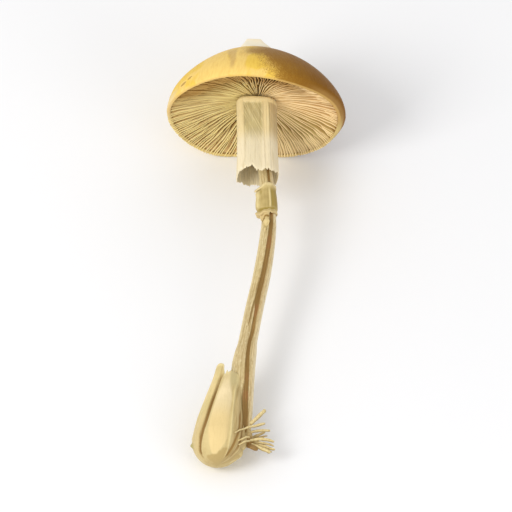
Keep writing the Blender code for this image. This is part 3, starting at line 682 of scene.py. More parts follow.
def make_gills():
    """Separate lamellae over a web: full ones, and shorter ones between them where the picture has them closer."""
    rng = np.random.RandomState(21)
    full = 88
    gap = 2 * math.pi / full
    blades = []
    for i in range(full):
        b = gap * i
        blades.append((b + rng.uniform(-0.13, 0.13) * gap, 4.45 + rng.uniform(0, 0.5), 1.0))
        b += (0.5 + rng.uniform(-0.10, 0.10)) * gap
        begin = rng.uniform(12.0, 20.0) + 15.5 * abs(math.cos(b)) ** 1.3
        if begin < 33.5:
            blades.append((b, begin, 0.85))
    nr, prof = 30, np.array([0.0, 0.4, 0.74, 0.92, 1.0])
    half = np.array([0.34, 0.29, 0.25, 0.19, 0.07])
    pts, at, pat, faces = [], [], [], []
    count = 0
    k = 2 * len(prof)
    for b, r0, share in blades:
        deg = math.degrees(b)
        low = float(step(abs(turn_to(deg, 100)), 84, 66))
        r1 = 37.5 + (1.75 + rng.uniform(-0.5, 0.35)) * low
        t = np.linspace(0, 1, nr)
        r = r0 + (r1 - r0) * (1 - (1 - t) ** 1.25)
        inside = np.minimum(r, 37.4)
        top = np.where(r > 37.3, 1.0, gill_valley(inside) + 0.18)
        edge = gill_edge(np.minimum(r, 38.2))
        if share < 1:
            edge = edge + (top - 0.2 - edge) * np.exp(-t / 0.10) + 0.25 * (1 - share)
        edge = edge + (0.07 * np.sin(r * rng.uniform(0.5, 0.9) + rng.uniform(0, 6)) + rng.uniform(-0.10, 0.12)) * step(r, 38.0, 34.0)
        edge = edge - 0.34 * step(r, 36.6, 37.7) * low + 0.9 * step(r, 38.5, 39.6) * low
        edge = np.where((r > 36.4) & (low < 0.5), np.maximum(edge, 0.10), edge)
        edge = np.minimum(edge, top - 0.06)
        sway = rng.uniform(-0.30, 0.30) * np.sin(math.pi * t) + 0.10 * np.sin(2 * math.pi * t * rng.uniform(1.5, 3.5) + rng.uniform(0, 6))
        lean = rng.uniform(-0.25, 0.25)
        chance = rng.uniform(0, 1)
        slim = np.clip(r / 15.0, 0.34, 1.0)
        rows, marks = [], []
        for sgn, order in ((1, range(len(prof))), (-1, range(len(prof) - 1, -1, -1))):
            for j in order:
                f = prof[j]
                z = top + (edge - top) * f
                off = sgn * half[j] * slim + sway * (0.4 + 0.6 * f) + lean * f * np.sin(math.pi * t)
                ang = b + off / np.maximum(r, 3.0)
                rows.append(np.stack([r * np.cos(ang), r * np.sin(ang), z], -1))
                marks.append(np.stack([np.full(nr, 1 - f), r, np.full(nr, chance)], -1))
        rows = np.array(rows)
        flat = rows.copy()
        flat[..., 0] += GILL_HOLE_SHIFT * np.clip(1 - r / 20.0, 0, None)
        pts.append(cap_shape(flat).reshape(-1, 3))
        at.append(rows.reshape(-1, 3))
        pat.append(np.array(marks).reshape(-1, 3))
        faces.append(grid(k, nr, wrap_u=True, base=count))
        for end, flip in ((0, True), (nr - 1, False)):
            ring = [count + i * nr + end for i in range(k)]
            for i in range(k // 2 - 1):
                quad = [ring[i], ring[i + 1], ring[k - 2 - i], ring[k - 1 - i]]
                faces.append([quad[::-1] if flip else quad])
        count += k * nr
    # the web, a closed body between the lamellae and the flesh
    n = 264
    r = np.linspace(4.35, 37.44, 34)
    lower = np.stack([r, gill_valley(np.minimum(r, 37.4))], -1)
    upper = np.stack([r, flesh(r) + 0.15], -1)[::-1]
    ring = np.vstack([lower, upper])
    T, R = np.meshgrid(np.linspace(0, 2 * math.pi, n, endpoint=False), ring[:, 0], indexing="ij")
    Z = np.broadcast_to(ring[:, 1], T.shape) + 0.10 * ripple(np.cos(T) * R / 3, np.sin(T) * R / 3, 23, 9, 0.5, 1.5) * (np.arange(len(ring)) < 33)
    rows = np.stack([R * np.cos(T), R * np.sin(T), Z], -1)
    flat = rows.copy()
    flat[..., 0] += GILL_HOLE_SHIFT * np.clip(1 - R / 20.0, 0, None)
    pts.append(cap_shape(flat).reshape(-1, 3))
    at.append(rows.reshape(-1, 3))
    pat.append(np.stack([np.ones_like(R), R, np.full_like(R, 0.3)], -1).reshape(-1, 3))
    faces.append(grid(n, len(ring), wrap_u=True, wrap_v=True, base=count))
    return piece("lamellae", np.vstack(pts), faces, gill_skin(), ["gills"], {"pat": np.vstack(pat)}, at=np.vstack(at))


# ------------------------------------------------------------------ stem
SHADE_STREAK = [  # height, bearing of the middle of the brown streak of painted shade, half its width in degrees
    (17, 290, 13), (-40, 291, 14), (-50, 290, 18), (-56.6, 289.5, 20), (-69.5, 287, 20), (-80, 285, 20), (-90.6, 281.5, 24), (-95.8, 284.6, 21),
    (-101, 290.6, 15), (-106, 291, 14), (-111, 293.6, 15), (-119, 286, 13), (-127, 289, 13), (-135, 293, 13.5), (-146, 291.5, 18),
    (-154, 293, 24), (-164, 293, 29), (-172, 291, 30),
]
SHADE_FORK = [  # a thinner branch of the painted shade to its left
    (-91, 272, 2), (-96, 266, 6), (-101, 262, 8), (-106, 260, 6.5), (-109.5, 257, 1.5), (-138, 276, 1.5), (-148, 272, 5),
    (-158, 266, 8), (-166, 256, 9), (-172, 250, 9),
]


def make_stem():
    n, levels = 176, np.concatenate([np.linspace(16.8, -168.0, 300), np.linspace(-168.4, -171.1, 10)])
    th = np.linspace(0, 2 * math.pi, n, endpoint=False)
    T, Z = np.meshgrid(th, levels, indexing="ij")
    deg = np.degrees(T)
    cx, rr = through(STEM, Z, 1), through(STEM, Z, 3)
    # low fibrous ridges that wind a little, and a furrow where the painted shade streak runs
    twist = T + 0.0016 * Z
    ridge = 0.050 * wander(twist, 2, 5, 16, 0.3) + 0.035 * wander(twist - 0.003 * Z, 4, 17, 40, 0.2)
    swell = 0.10 * ripple(T * 0 + np.cos(T), Z / 9, 7, 8, 0.4, 1.6)
    mid, half = through(SHADE_STREAK, Z, 1), through(SHADE_STREAK, Z, 2)
    shade_line = turn_to(deg, mid) / half
    fork_mid, fork_half = through(SHADE_FORK, Z, 1), np.maximum(through(SHADE_FORK, Z, 2), 0.2)
    gone = (Z > -91) | ((Z < -109.5) & (Z > -139))
    fork = np.where(gone, 9.0, turn_to(deg, fork_mid) / fork_half)
    furrow = -0.32 * bell(shade_line, 0.9) * step(Z, 10, -20) - 0.16 * bell(fork, 1.0)
    scale = step(Z, 16.8, 12.0) * step(Z, -171.2, -166.0)
    r = rr * (1 + 0.6 * ridge * scale) + (swell + furrow) * scale
    P = np.stack([cx + r * np.cos(T), r * np.sin(T), Z], -1)
    rad = np.stack([np.cos(T), np.sin(T), Z], -1)
    right = step(turn_to(deg, mid), 8, 30) * step(turn_to(deg, mid), 110, 80)
    pat = np.stack([shade_line, fork, right], -1)
    m = len(levels)
    ends = np.array([[through(STEM, 16.8, 1), 0, 17.1], [through(STEM, -171.2, 1), 0, -171.5]])
    pts = np.vstack([P.reshape(-1, 3), ends])
    rad = np.vstack([rad.reshape(-1, 3), [[0, 0, 17], [0, 0, -171]]])
    pat = np.vstack([pat.reshape(-1, 3), [[9, 9, 0], [9, 9, 0]]])
    faces = [grid(n, m, wrap_u=True), fan(np.arange(n) * m, n * m), fan(np.arange(n) * m + m - 1, n * m + 1, flip=True)]
    return piece("stem_shaft", pts, faces, stem_skin(), ["stem"], {"rad": rad, "pat": pat})


# ------------------------------------------------------------------ ring
def shell_piece(name, P, thickness, material, replaces, attrs, outward):
    """A closed skin from an outer net (round, along, 3), with its inner side at a thickness, as an array or a number."""
    n, m = P.shape[:2]
    N = net_normals(P) * outward
    inner = P - N * np.reshape(thickness, (1, -1, 1) if np.ndim(thickness) else (1, 1, 1))
    pts = np.vstack([P.reshape(-1, 3), inner.reshape(-1, 3)])
    a, b = grid(n, m, wrap_u=True), grid(n, m, wrap_u=True, base=n * m, flip=True)
    i = np.arange(n)
    j = (i + 1) % n
    start = np.stack([i * m, i * m + n * m, j * m + n * m, j * m], -1)
    end = np.stack([i * m + m - 1, j * m + m - 1, j * m + m - 1 + n * m, i * m + m - 1 + n * m], -1)
    extra = {k: np.vstack([v.reshape(-1, 3), v.reshape(-1, 3)]) for k, v in attrs.items()}
    return piece(name, pts, [a, b, start, end], material, replaces, extra)


def make_skirt():
    n = 420
    th = np.linspace(0, 2 * math.pi, n, endpoint=False)
    rows = [(4.2, 6.7), (5.2, 6.85), (6.4, 6.95), (7.2, 6.97), (7.8, 6.9), (8.15, 6.65), (8.38, 6.2), (8.48, 5.6)]
    body = np.linspace(4.9, SKIRT_HEM, 76)
    z = np.concatenate([[v[1] for v in rows], body])
    r = np.concatenate([[v[0] for v in rows], 8.5 + 0.5 * np.clip((-body - 10) / 20, 0, 1) ** 1.5])
    T, Z = np.meshgrid(th, z, indexing="ij")
    R = np.broadcast_to(r, T.shape)
    deg = np.degrees(T)
    down = np.clip((SKIRT_TOP - Z) / (SKIRT_TOP - SKIRT_HEM), 0, 1)
    close = np.clip((SKIRT_R - R) / (SKIRT_R - 4.15), 0, 1)
    # a rounded square in plan, flat towards the side that lies up, and rounder towards the hem
    power = 3.9 - 1.3 * step(down, 0.2, 1.0)
    across, deep = 1.0, 0.93 + 0.05 * down
    plan = (np.abs(np.cos(T) / across) ** power + np.abs(np.sin(T) / deep) ** power) ** (-1 / power)
    plan = plan * (1 - 0.5 * close) + 0.5 * close
    grow = (1 - close) * step(Z, 6.9, 4.6)
    lower_top = step(Z, 4.4, 3.6)
    # the framed panel between two raised bands, and softer folds elsewhere
    panel = -0.42 * step(np.abs(turn_to(deg, 260 - 3 * down)), 29, 25) * lower_top
    beads = 0.22 * bell(turn_to(deg, 231), 2.6) + 0.24 * bell(turn_to(deg, 288), 2.6) + 0.16 * bell(turn_to(deg, 304), 3.0) + 0.14 * bell(turn_to(deg, 207), 4)
    fold = 0.30 * bell(turn_to(deg, 118 + 3 * down), 12) + 0.30 * bell(turn_to(deg, 40), 12) + 0.22 * bell(turn_to(deg, 345), 8) + 0.22 * bell(turn_to(deg, 160), 8) + 0.2 * bell(turn_to(deg, 80), 7)
    pleat = 0.07 * wander(T + 0.0025 * Z, 31, 20, 46, 0.15) + 0.05 * wander(T - 0.002 * Z, 35, 50, 90, 0.1)
    hem = (0.9 * np.cos(3 * T + 0.4) + 0.6 * np.cos(7 * T + 1.0)) * down**6
    torn = (0.55 * wander(T, 41, 9, 26, 0.3) + 0.35 * wander(T, 43, 30, 70, 0.2)) * down**10
    mid = 1.35 + 0.6 * down
    top = through(STEM, Z, 1)
    rr = R * plan + (panel + beads * lower_top + fold * step(down, 0.05, 0.3)) * grow + pleat * grow * lower_top + 0.35 * wander(T, 47, 3, 8, 0.5) * down**4
    X = (top * close + mid * (1 - close)) + rr * np.cos(T)
    Y = rr * np.sin(T)
    Zs = Z + hem + torn - (X - mid) * math.tan(math.radians(CAP_TILT)) * (1 - down)
    P = np.stack([X, Y, Zs], -1)
    rad = np.stack([np.cos(T), np.sin(T), Z], -1)
    frame_top = step(Z, 3.7, 4.5)
    ridge = np.clip(step(np.abs(turn_to(deg, 218)), 15, 12) + step(np.abs(turn_to(deg, 296)), 9.5, 7) + frame_top, 0, 1)
    # painted shade: the right side turns greyer tan
    right = step(turn_to(deg, 335), -32, -27) * step(turn_to(deg, 335), 45, 25)
    pat = np.stack([ridge, step(down, 0.30, 0.75), right * (1 - 0.5 * frame_top)], -1)
    thick = np.where(np.arange(len(z)) < 8, 0.55, 0.42)
    thick[-3:] = (0.34, 0.24, 0.12)
    return shell_piece("hanging_ring", P, thick, ring_skin(), ["skirt_ring"], {"rad": rad, "pat": pat}, 1)


def make_cuff():
    """The torn lower cuff: a loose body that bulges to the left, with a rolled collar at each end."""
    n = 260
    th = np.linspace(0, 2 * math.pi, n, endpoint=False)
    top, bottom = -35.4, -50.6
    clear = 3.36
    prof = [
        (0.05, bottom + 1.5), (0.12, bottom + 0.8), (0.40, bottom + 0.25), (0.80, bottom), (1.20, bottom + 0.08), (1.46, bottom + 0.40),
        (1.54, bottom + 0.80), (1.44, bottom + 1.2), (1.20, bottom + 1.5), (1.05, bottom + 1.85), (1.08, bottom + 2.3),
        (1.18, bottom + 2.9), (1.26, bottom + 3.6), (1.27, bottom + 4.4), (1.27, bottom + 5.2), (1.22, bottom + 6.2), (1.15, bottom + 7.2),
        (1.06, bottom + 8.2), (0.97, bottom + 9.2), (0.88, bottom + 10.2), (0.80, bottom + 11.2), (0.74, bottom + 12.0),
        (0.74, bottom + 12.7), (0.95, bottom + 13.3), (1.12, bottom + 13.9), (1.14, bottom + 14.5), (0.95, top - 0.2), (0.55, top),
        (0.22, top - 0.25), (0.08, top - 0.9),
    ]
    pr = np.array(prof)
    T, W = np.meshgrid(th, pr[:, 0], indexing="ij")
    Z = np.broadcast_to(pr[:, 1], T.shape).copy()
    deg = np.degrees(T)
    wall = W * (1.10 - 0.68 * np.cos(T) + 0.08 * np.cos(3 * T + 0.7))
    body = step(Z, bottom + 2.2, bottom + 3.8) * step(Z, top - 1.5, top - 4)
    knob = bell(turn_to(deg, 207), 17) * bell(Z - (top - 4.7), 1.1)
    wall = wall + body * (0.45 * bell(turn_to(deg, 200), 34) - 0.10 * bell(turn_to(deg, 255), 14) - 0.28 * bell(turn_to(deg, 272), 5) + 0.22 * bell(turn_to(deg, 281), 5)
                          - 0.22 * bell(turn_to(deg, 296), 7) + 0.12 * wander(T, 51, 4, 14, 0.3)) * np.clip(W, 0, 1)
    wall = wall + 0.95 * knob
    collar = step(Z, bottom + 2.6, bottom + 1.6)
    wall = wall + collar * np.clip(W, 0, 1) * (0.22 * wander(T, 53, 3, 9, 0.4) + 0.28 * bell(turn_to(deg, 205), 30) - 0.20 * bell(turn_to(deg, 182), 16) - 0.42 * bell(turn_to(deg, 350), 40))
    cap_end = step(Z, top - 2.6, top - 1.4)
    wall = wall + cap_end * np.clip(W, 0, 1) * (0.70 * bell(turn_to(deg, 206), 26) - 0.25 * bell(turn_to(deg, 245), 12) + 0.2 * wander(T, 55, 3, 9, 0.4))
    pleat = (0.05 * wander(T + 0.01 * Z, 57, 12, 34, 0.2)) * np.clip(W, 0, 1)
    r = clear + wall + pleat
    full = np.clip(W / 0.8, 0, 1)
    drop = 0.45 * np.cos(2 * T + 0.9) * full
    drop = drop + cap_end * full * (0.9 * bell(turn_to(deg, 268), 26) - 2.7 * bell(turn_to(deg, 204), 30) + 0.25 * wander(T, 59, 5, 16, 0.3))
    drop = drop + collar * full * (-0.9 * bell(turn_to(deg, 212), 24) + 0.35 * wander(T, 61, 4, 12, 0.3))
    cx = through(STEM, Z, 1)
    P = np.stack([cx + r * np.cos(T), r * np.sin(T), Z + drop], -1)
    rad = np.stack([np.cos(T), np.sin(T), Z], -1)
    roll = np.clip(step(Z, bottom + 2.0, bottom + 1.3) + step(Z, top - 2.2, top - 1.0), 0, 1)
    shadow = 1.8 * bell(Z - (bottom + 2.1), 0.42) * step(np.abs(turn_to(deg, 262)), 75, 40)
    shadow = shadow + 0.8 * bell(Z - (bottom + 0.8), 0.2) * step(np.abs(turn_to(deg, 262)), 62, 36)
    # a little olive tone towards the front, and painted shade down the right side
    olive_and_shade = body * (0.15 * step(np.abs(turn_to(deg, 255)), 50, 20) + step(turn_to(deg, 284), 0, 8) * step(turn_to(deg, 360), 20, -5))
    fold = body * (bell(turn_to(deg, 280), 5) + 0.8 * bell(turn_to(deg, 212), 10))
    fold = fold * (1 - knob)
    roll = np.maximum(roll, 0.8 * knob)
    # the second channel also carries painted shadow: under the lower collar, and to the right of the knob
    pat = np.stack([roll * (1 - np.clip(shadow, 0, 1)), np.maximum(np.clip(olive_and_shade, 0, 1) * (1 - fold), 0.8 * shadow + 1.5 * bell(turn_to(deg, 228), 6) * bell(Z - (top - 4.4), 0.9)), fold], -1)
    m = len(prof)
    return piece("torn_cuff", P, [grid(n, m, wrap_u=True, wrap_v=True)], cuff_skin(), ["ring_sleeve"], {"rad": rad, "pat": pat})


def make_flap():
    """A scrap of the cuff that hangs over the top of the bare stem."""
    u = np.linspace(0, 1, 44)
    v = np.linspace(0, 1, 40)
    U, V = np.meshgrid(u, v, indexing="ij")
    left = 200 + 26 * V**1.3 + 2.5 * np.sin(9 * V) + 1.5 * np.sin(21 * V)
    right = 276 - 8 * V + 2.5 * np.sin(7 * V + 1) + 1.5 * np.sin(17 * V)
    deg = left + (right - left) * U
    long = 6.6 + 4.0 * step(U, 0.05, 0.55) - 4.2 * step(U, 0.62, 1.0) + 0.5 * np.sin(13 * U + 1.0) + 0.35 * np.sin(29 * U)
    z = -49.4 - long * V
    T = np.radians(deg)
    rs = through(STEM, z, 3)
    hang = long * V
    arc = np.maximum(5.4 - 4.4 * U, 2.9)
    r = rs + 0.30 + 1.15 * bell(hang - 2.2 + 1.4 * U, 1.7) + 0.85 * bell(hang - arc - 2.2, 1.1) + 0.60 * bell(hang - 9.3 - 0.6 * U, 0.7) + 0.28 * np.sin(9 * U + 4 * V) * step(V, 0.05, 0.3) + 0.12 * ripple(U * 6, V * 6, 3, 8)
    r = np.maximum(r, rs + 0.22)
    P = np.stack([through(STEM, z, 1) + r * np.cos(T), r * np.sin(T), z], -1)
    N = net_normals(P, wrap_u=False)
    if np.mean(N[..., 1]) > 0:
        N = -N
    inner = P - N * 0.28
    n, m = P.shape[:2]
    pts = np.vstack([P.reshape(-1, 3), inner.reshape(-1, 3)])
    k = n * m
    faces = [grid(n, m), grid(n, m, base=k, flip=True)]
    i = np.arange(n - 1)
    j = np.arange(m - 1)
    faces.append(np.stack([i * m, (i + 1) * m, (i + 1) * m + k, i * m + k], -1))
    faces.append(np.stack([i * m + m - 1, i * m + m - 1 + k, (i + 1) * m + m - 1 + k, (i + 1) * m + m - 1], -1))
    faces.append(np.stack([j, j + k, j + 1 + k, j + 1], -1))
    faces.append(np.stack([(n - 1) * m + j, (n - 1) * m + j + 1, (n - 1) * m + j + 1 + k, (n - 1) * m + j + k], -1))
    rad = np.stack([np.cos(T), np.sin(T), z], -1)
    # painted shadow: a brown arc under the collar, and a fainter one lower on the scrap
    under = np.maximum(bell(hang - arc, 0.55), 0.6 * bell(hang - 8.0 - 0.6 * U, 0.45) * step(U, 0.15, 0.35))
    pat = np.stack([0.95 * (1 - under), 2.2 * under, 0.40 * step(hang, arc + 0.3, arc + 1.3) * (1 - under)], -1)
    extra = {"rad": np.vstack([rad.reshape(-1, 3)] * 2), "pat": np.vstack([pat.reshape(-1, 3)] * 2)}
    return piece("cuff_scrap", pts, faces, bpy.data.materials["cuff_membrane_look"], (), extra)


# ------------------------------------------------------------------ volva
def hull_radius(bearing, r_big, gap, r_small):
    """Distance from the big circle's centre to the outline that wraps both circles."""
    c, s = np.cos(bearing), np.abs(np.sin(bearing))
    sin_a = np.clip((r_big - r_small) / gap, -1, 1)
    cos_a = np.sqrt(1 - sin_a**2)
    slope = c * sin_a + s * cos_a
    t = r_big / np.where(slope > 1e-6, slope, 1.0)
    u = t * (c * cos_a - s * sin_a)
    end = gap * c + np.sqrt(np.clip(r_small**2 - (gap * s) ** 2, 0, None))
    out = np.where((slope > 1e-6) & (u >= 0) & (u <= gap * cos_a), t, np.where(((slope > 1e-6) & (u < 0)) | ((slope <= 1e-6) & (c < 0)), r_big, end))
    return np.where(gap + r_small <= r_big, r_big, out)


def sac_section(z):
    level = np.maximum(z, SAC_LOW)
    left, radius = through(SAC, level, 1), through(SAC, level, 2)
    centre = left + radius
    stem_r = through(STEM, np.maximum(z, -165.0), 3)
    hug_x, hug_r = through(STEM, np.maximum(z, -169.0), 1), stem_r + GAP + VOLVA_WALL + 0.05
    t = np.clip((SAC_LOW - z) / (SAC_LOW - SAC_BOTTOM), 0, 1)
    shrink = np.sqrt(np.clip(1 - t**2.2, 0, None))
    centre = centre * (1 - t) + SAC_BOTTOM_X * t
    hug_x = hug_x * (1 - t**3) + SAC_BOTTOM_X * t**3
    return centre, radius * shrink, hug_x, hug_r * shrink * (1 - 0.14 * t)


def make_volva():
    n = 360
    th = np.linspace(0, 2 * math.pi, n, endpoint=False)
    share = np.concatenate([[0.012, 0.028, 0.05, 0.08], np.linspace(0.115, 1.0, 96)])
    T, F = np.meshgrid(th, share, indexing="ij")
    deg = np.degrees(T)
    edge = around(SAC_EDGE, deg)
    quiet = (1 - 0.85 * bell(turn_to(deg, 214), 26)) * (1 - 0.8 * step(turn_to(deg, 274), -34, -22) * step(turn_to(deg, 274), 40, 26))
    torn = (0.42 * wander(T, 71, 12, 30, 0.3) + 0.30 * wander(T, 73, 34, 80, 0.2)) * step(deg, 30, 60) * quiet
    tooth = 2.3 * bell(turn_to(deg, 263.5), 4.2) - 0.7 * bell(turn_to(deg, 188), 7)
    Z = SAC_BOTTOM + (edge - SAC_BOTTOM) * F**1.15 + (torn + tooth) * F**14
    centre, radius, hug_x, hug_r = sac_section(Z)
    # round the stem the wall thins towards its torn edge and clings to the stem
    cling = step(np.abs(turn_to(deg, 340)), 74, 44) * step(F, 0.15, 0.75)
    hug_r = hug_r - 1.08 * cling * step(Z, -176.0, -170.0)
    out = hull_radius(T, radius, np.maximum(1e-3, hug_x - centre), hug_r)
    # a groove beside the lobe, which the colour darkens with painted shade
    crease_at = through([(-134, 250), (-139.5, 241.5), (-144, 240.5), (-149.5, 239), (-155, 238.5), (-159.5, 236.5), (-164, 233.5), (-168, 228.5), (-172, 218), (-175.5, 201), (-178.6, 188)], Z)
    fade = step(Z, -178.5, -174.0) * step(Z, -132.5, -137.5)
    crease = bell(turn_to(deg, crease_at), 6.2 + 1.6 * step(Z, -152.0, -140.0)) * fade
    out = out - 1.0 * crease
    # the rolled lip of the free lobe stands up beside the crease, and the sac bellies on its other side
    out = out + 0.40 * bell(turn_to(deg, crease_at - 12), 8) * fade
    out = out + 0.55 * bell(turn_to(deg, 266), 20) * step(Z, -178.0, -168.0) * step(Z, -134.0, -146.0)
    out = out - 0.30 * bell(turn_to(deg, 240), 5) * step(Z, -132.0, -139.0)
    # the torn edge that lies on the stem's foot, with a groove on its left and a lower part to its right
    line = 299.0 + 6.0 * np.clip((-172.0 - Z) / 6.0, 0, 1)
    on_line = step(Z, -178.2, -176.0) * step(Z, -138.5, -143.5)
    out = out + on_line * (0.20 * bell(turn_to(deg, line), 1.9) - 0.18 * bell(turn_to(deg, line - 5.5), 3.0) - 0.38 * bell(turn_to(deg, line + 6.5), 4.0))
    out = out + 1.1 * bell(turn_to(deg, 184), 5.0) * bell(Z + 169.6, 1.1)
    wrinkle = 0.10 * wander(T + 0.004 * Z, 75, 8, 24, 0.3) + 0.05 * wander(T - 0.003 * Z, 77, 26, 60, 0.2)
    dents = 0.22 * ripple(np.cos(T) * 2.2, Z / 9, 79, 10, 0.5, 2.0)
    out = out + (wrinkle * step(F, 0.05, 0.3) + dents * step(F, 0.1, 0.35) * step(F, 1.0, 0.8)) * (1 - 0.7 * cling)
    # two fibrous folds that run down to the left over the foot
    low = step(Z, -150.0, -160.0)
    first = 321.0 - 10.0 * np.clip((-163.0 - Z) / 12.0, 0, 1)
    second = 331.0 - 3.0 * np.clip((-163.0 - Z) / 12.0, 0, 1)
    out = out + low * step(Z, -178.4, -175.0) * (-0.30 * bell(turn_to(deg, first), 3.5) - 0.25 * bell(turn_to(deg, second), 3.5) + 0.16 * bell(turn_to(deg, 0.5 * (first + second)), 2.5))
    P = np.stack([centre + out * np.cos(T), out * np.sin(T), Z], -1)
    # near its edge the wall is drawn in to the stem
    axis, round_stem = through(STEM, Z, 1), through(STEM, Z, 3) + 0.30
    apart = np.hypot(P[..., 0] - axis, P[..., 1])
    hold = step(edge - Z, 11.0, 0.8) * step(turn_to(deg, 340), -61, -42) * step(turn_to(deg, 340), 60, 30)
    pull = 1 + (np.minimum(apart, round_stem) / np.maximum(apart, 1e-6) - 1) * hold
    P[..., 0] = axis + (P[..., 0] - axis) * pull
    P[..., 1] = P[..., 1] * pull
    rad = np.stack([np.cos(T), np.sin(T), Z], -1)
    on_lobe = step(turn_to(deg, crease_at), -4, -8) * step(turn_to(deg, 170), -30, 0)
    go = np.clip((-138.0 - Z) / 28.0, 0, 1)
    bulge_left, bulge_right = 256.5 - 8.5 * go, 283.0 + 10.0 * np.clip((-139.0 - Z) / 10.0, 0, 1) - 10.0 * np.clip((-170.0 - Z) / 6.0, 0, 1)
    floor_at = -176.6 + 2.4 * step(deg, 262, 290)
    # where the painted highlight of the bulge lies
    belly_highlight = step(deg - bulge_left, -9, 7) * step(deg - bulge_right, 8, -9) * step(Z - floor_at, -1.4, 1.2) * (0.5 + 0.5 * step(Z, -136.0, -150.0))
    # painted shade: tan at the sac's bottom, at its right and either side of the torn edge
    band = 0.75 * step(Z - floor_at, 0.4, -0.8) * step(deg, 214, 226) + 0.22 * bell(turn_to(deg, line - 5), 3.5) * on_line + 0.40 * bell(turn_to(deg, line + 8), 6) * on_line
    band = band + 0.6 * bell(turn_to(deg, 241), 5) * step(Z, -170.0, -150.0) + 0.55 * step(Z, -176.0, -177.6)
    # painted shade: brown down the two folds, carrying on the stem's streak, and a thin line right of the torn edge; a
    # dark mark at the tooth
    streaks_and_shade = low * (0.9 * bell(turn_to(deg, first), 4.5) + 0.9 * bell(turn_to(deg, second), 4.5)) * step(Z, -178.4, -176.0) 
    streaks_and_shade = streaks_and_shade + 0.35 * bell(turn_to(deg, line + 4.0), 1.6) * on_line + 0.75 * bell(turn_to(deg, 264.5), 3.4) * step(F, 0.982, 0.994)
    plain = step(turn_to(deg, 290), -24, -12) * step(turn_to(deg, 290), 34, 22)
    rim = step(F, 0.965, 0.99) * (1 - 0.6 * cling) * (1 - 0.95 * plain) + 0.65 * bell(turn_to(deg, line), 1.5) * on_line
    pat = np.stack([crease * (1 - 0.35 * step(Z, -150.0, -139.0)), on_lobe, belly_highlight], -1)
    pat2 = np.stack([np.clip(band, 0, 1), np.clip(streaks_and_shade, 0, 1), np.clip(rim, 0, 1)], -1)
    m = len(share)
    N = net_normals(P)
    away = P - np.stack([centre, np.zeros_like(centre), Z], -1)
    if np.mean(np.sum(N * away, -1)) < 0:
        N = -N
    thick = (VOLVA_WALL * (1 - 0.55 * step(F, 0.93, 1.0)) * (1 - cling) + 0.30 * cling) * (1 - 0.6 * plain * step(F, 0.85, 1.0))
    inner = P - N * thick[..., None]
    # close to the pole the wall runs straight up
    k = step(share, 0.10, 0.03)[None, :, None]
    inner = inner * (1 - k) + (P + np.array([0, 0, VOLVA_WALL])) * k
    pts = np.vstack([P.reshape(-1, 3), inner.reshape(-1, 3), [[SAC_BOTTOM_X, 0, SAC_BOTTOM]], [[SAC_BOTTOM_X, 0, SAC_BOTTOM + VOLVA_WALL]]])
    nm = n * m
    i = np.arange(n)
    j = (i + 1) % n
    lip = np.stack([i * m + m - 1, j * m + m - 1, j * m + m - 1 + nm, i * m + m - 1 + nm], -1)
    faces = [grid(n, m, wrap_u=True), grid(n, m, wrap_u=True, base=nm, flip=True), lip, fan(i * m, 2 * nm), fan(i * m + nm, 2 * nm + 1, flip=True)]
    pole = [[0, 0, SAC_BOTTOM]] * 2

    def both(a, tail):
        return np.vstack([a.reshape(-1, 3), a.reshape(-1, 3), tail])

    pat_in = pat * np.array([0.0, 0.0, 0.0])
    extra = {
        "rad": both(rad, pole),
        "pat": np.vstack([pat.reshape(-1, 3), pat_in.reshape(-1, 3), [[0, 0, 0]] * 2]),
        "pat2": both(pat2, [[1, 0, 0]] * 2),
    }
    return piece("volva_sac", pts, faces, volva_skin(), ["volva"], extra)


# ------------------------------------------------------------------ rootlets
SLANT, NEAR = 0.872, 0.489  # how height and depth show as height in a view from the picture's side


def seen(x, v, y):
    """The point at sideways x, seen at height v from the picture's side, and at depth y."""
    return (x, y, (v + NEAR * y) / SLANT)


def smooth_line(points, count):
    p = np.array(points, float)
    t = np.concatenate([[0], np.cumsum(np.linalg.norm(np.diff(p, axis=0), axis=1))])
    s = np.linspace(0, t[-1], count)
    return np.stack([through(np.stack([t, p[:, k]], -1).tolist(), s) for k in range(3)], -1), s


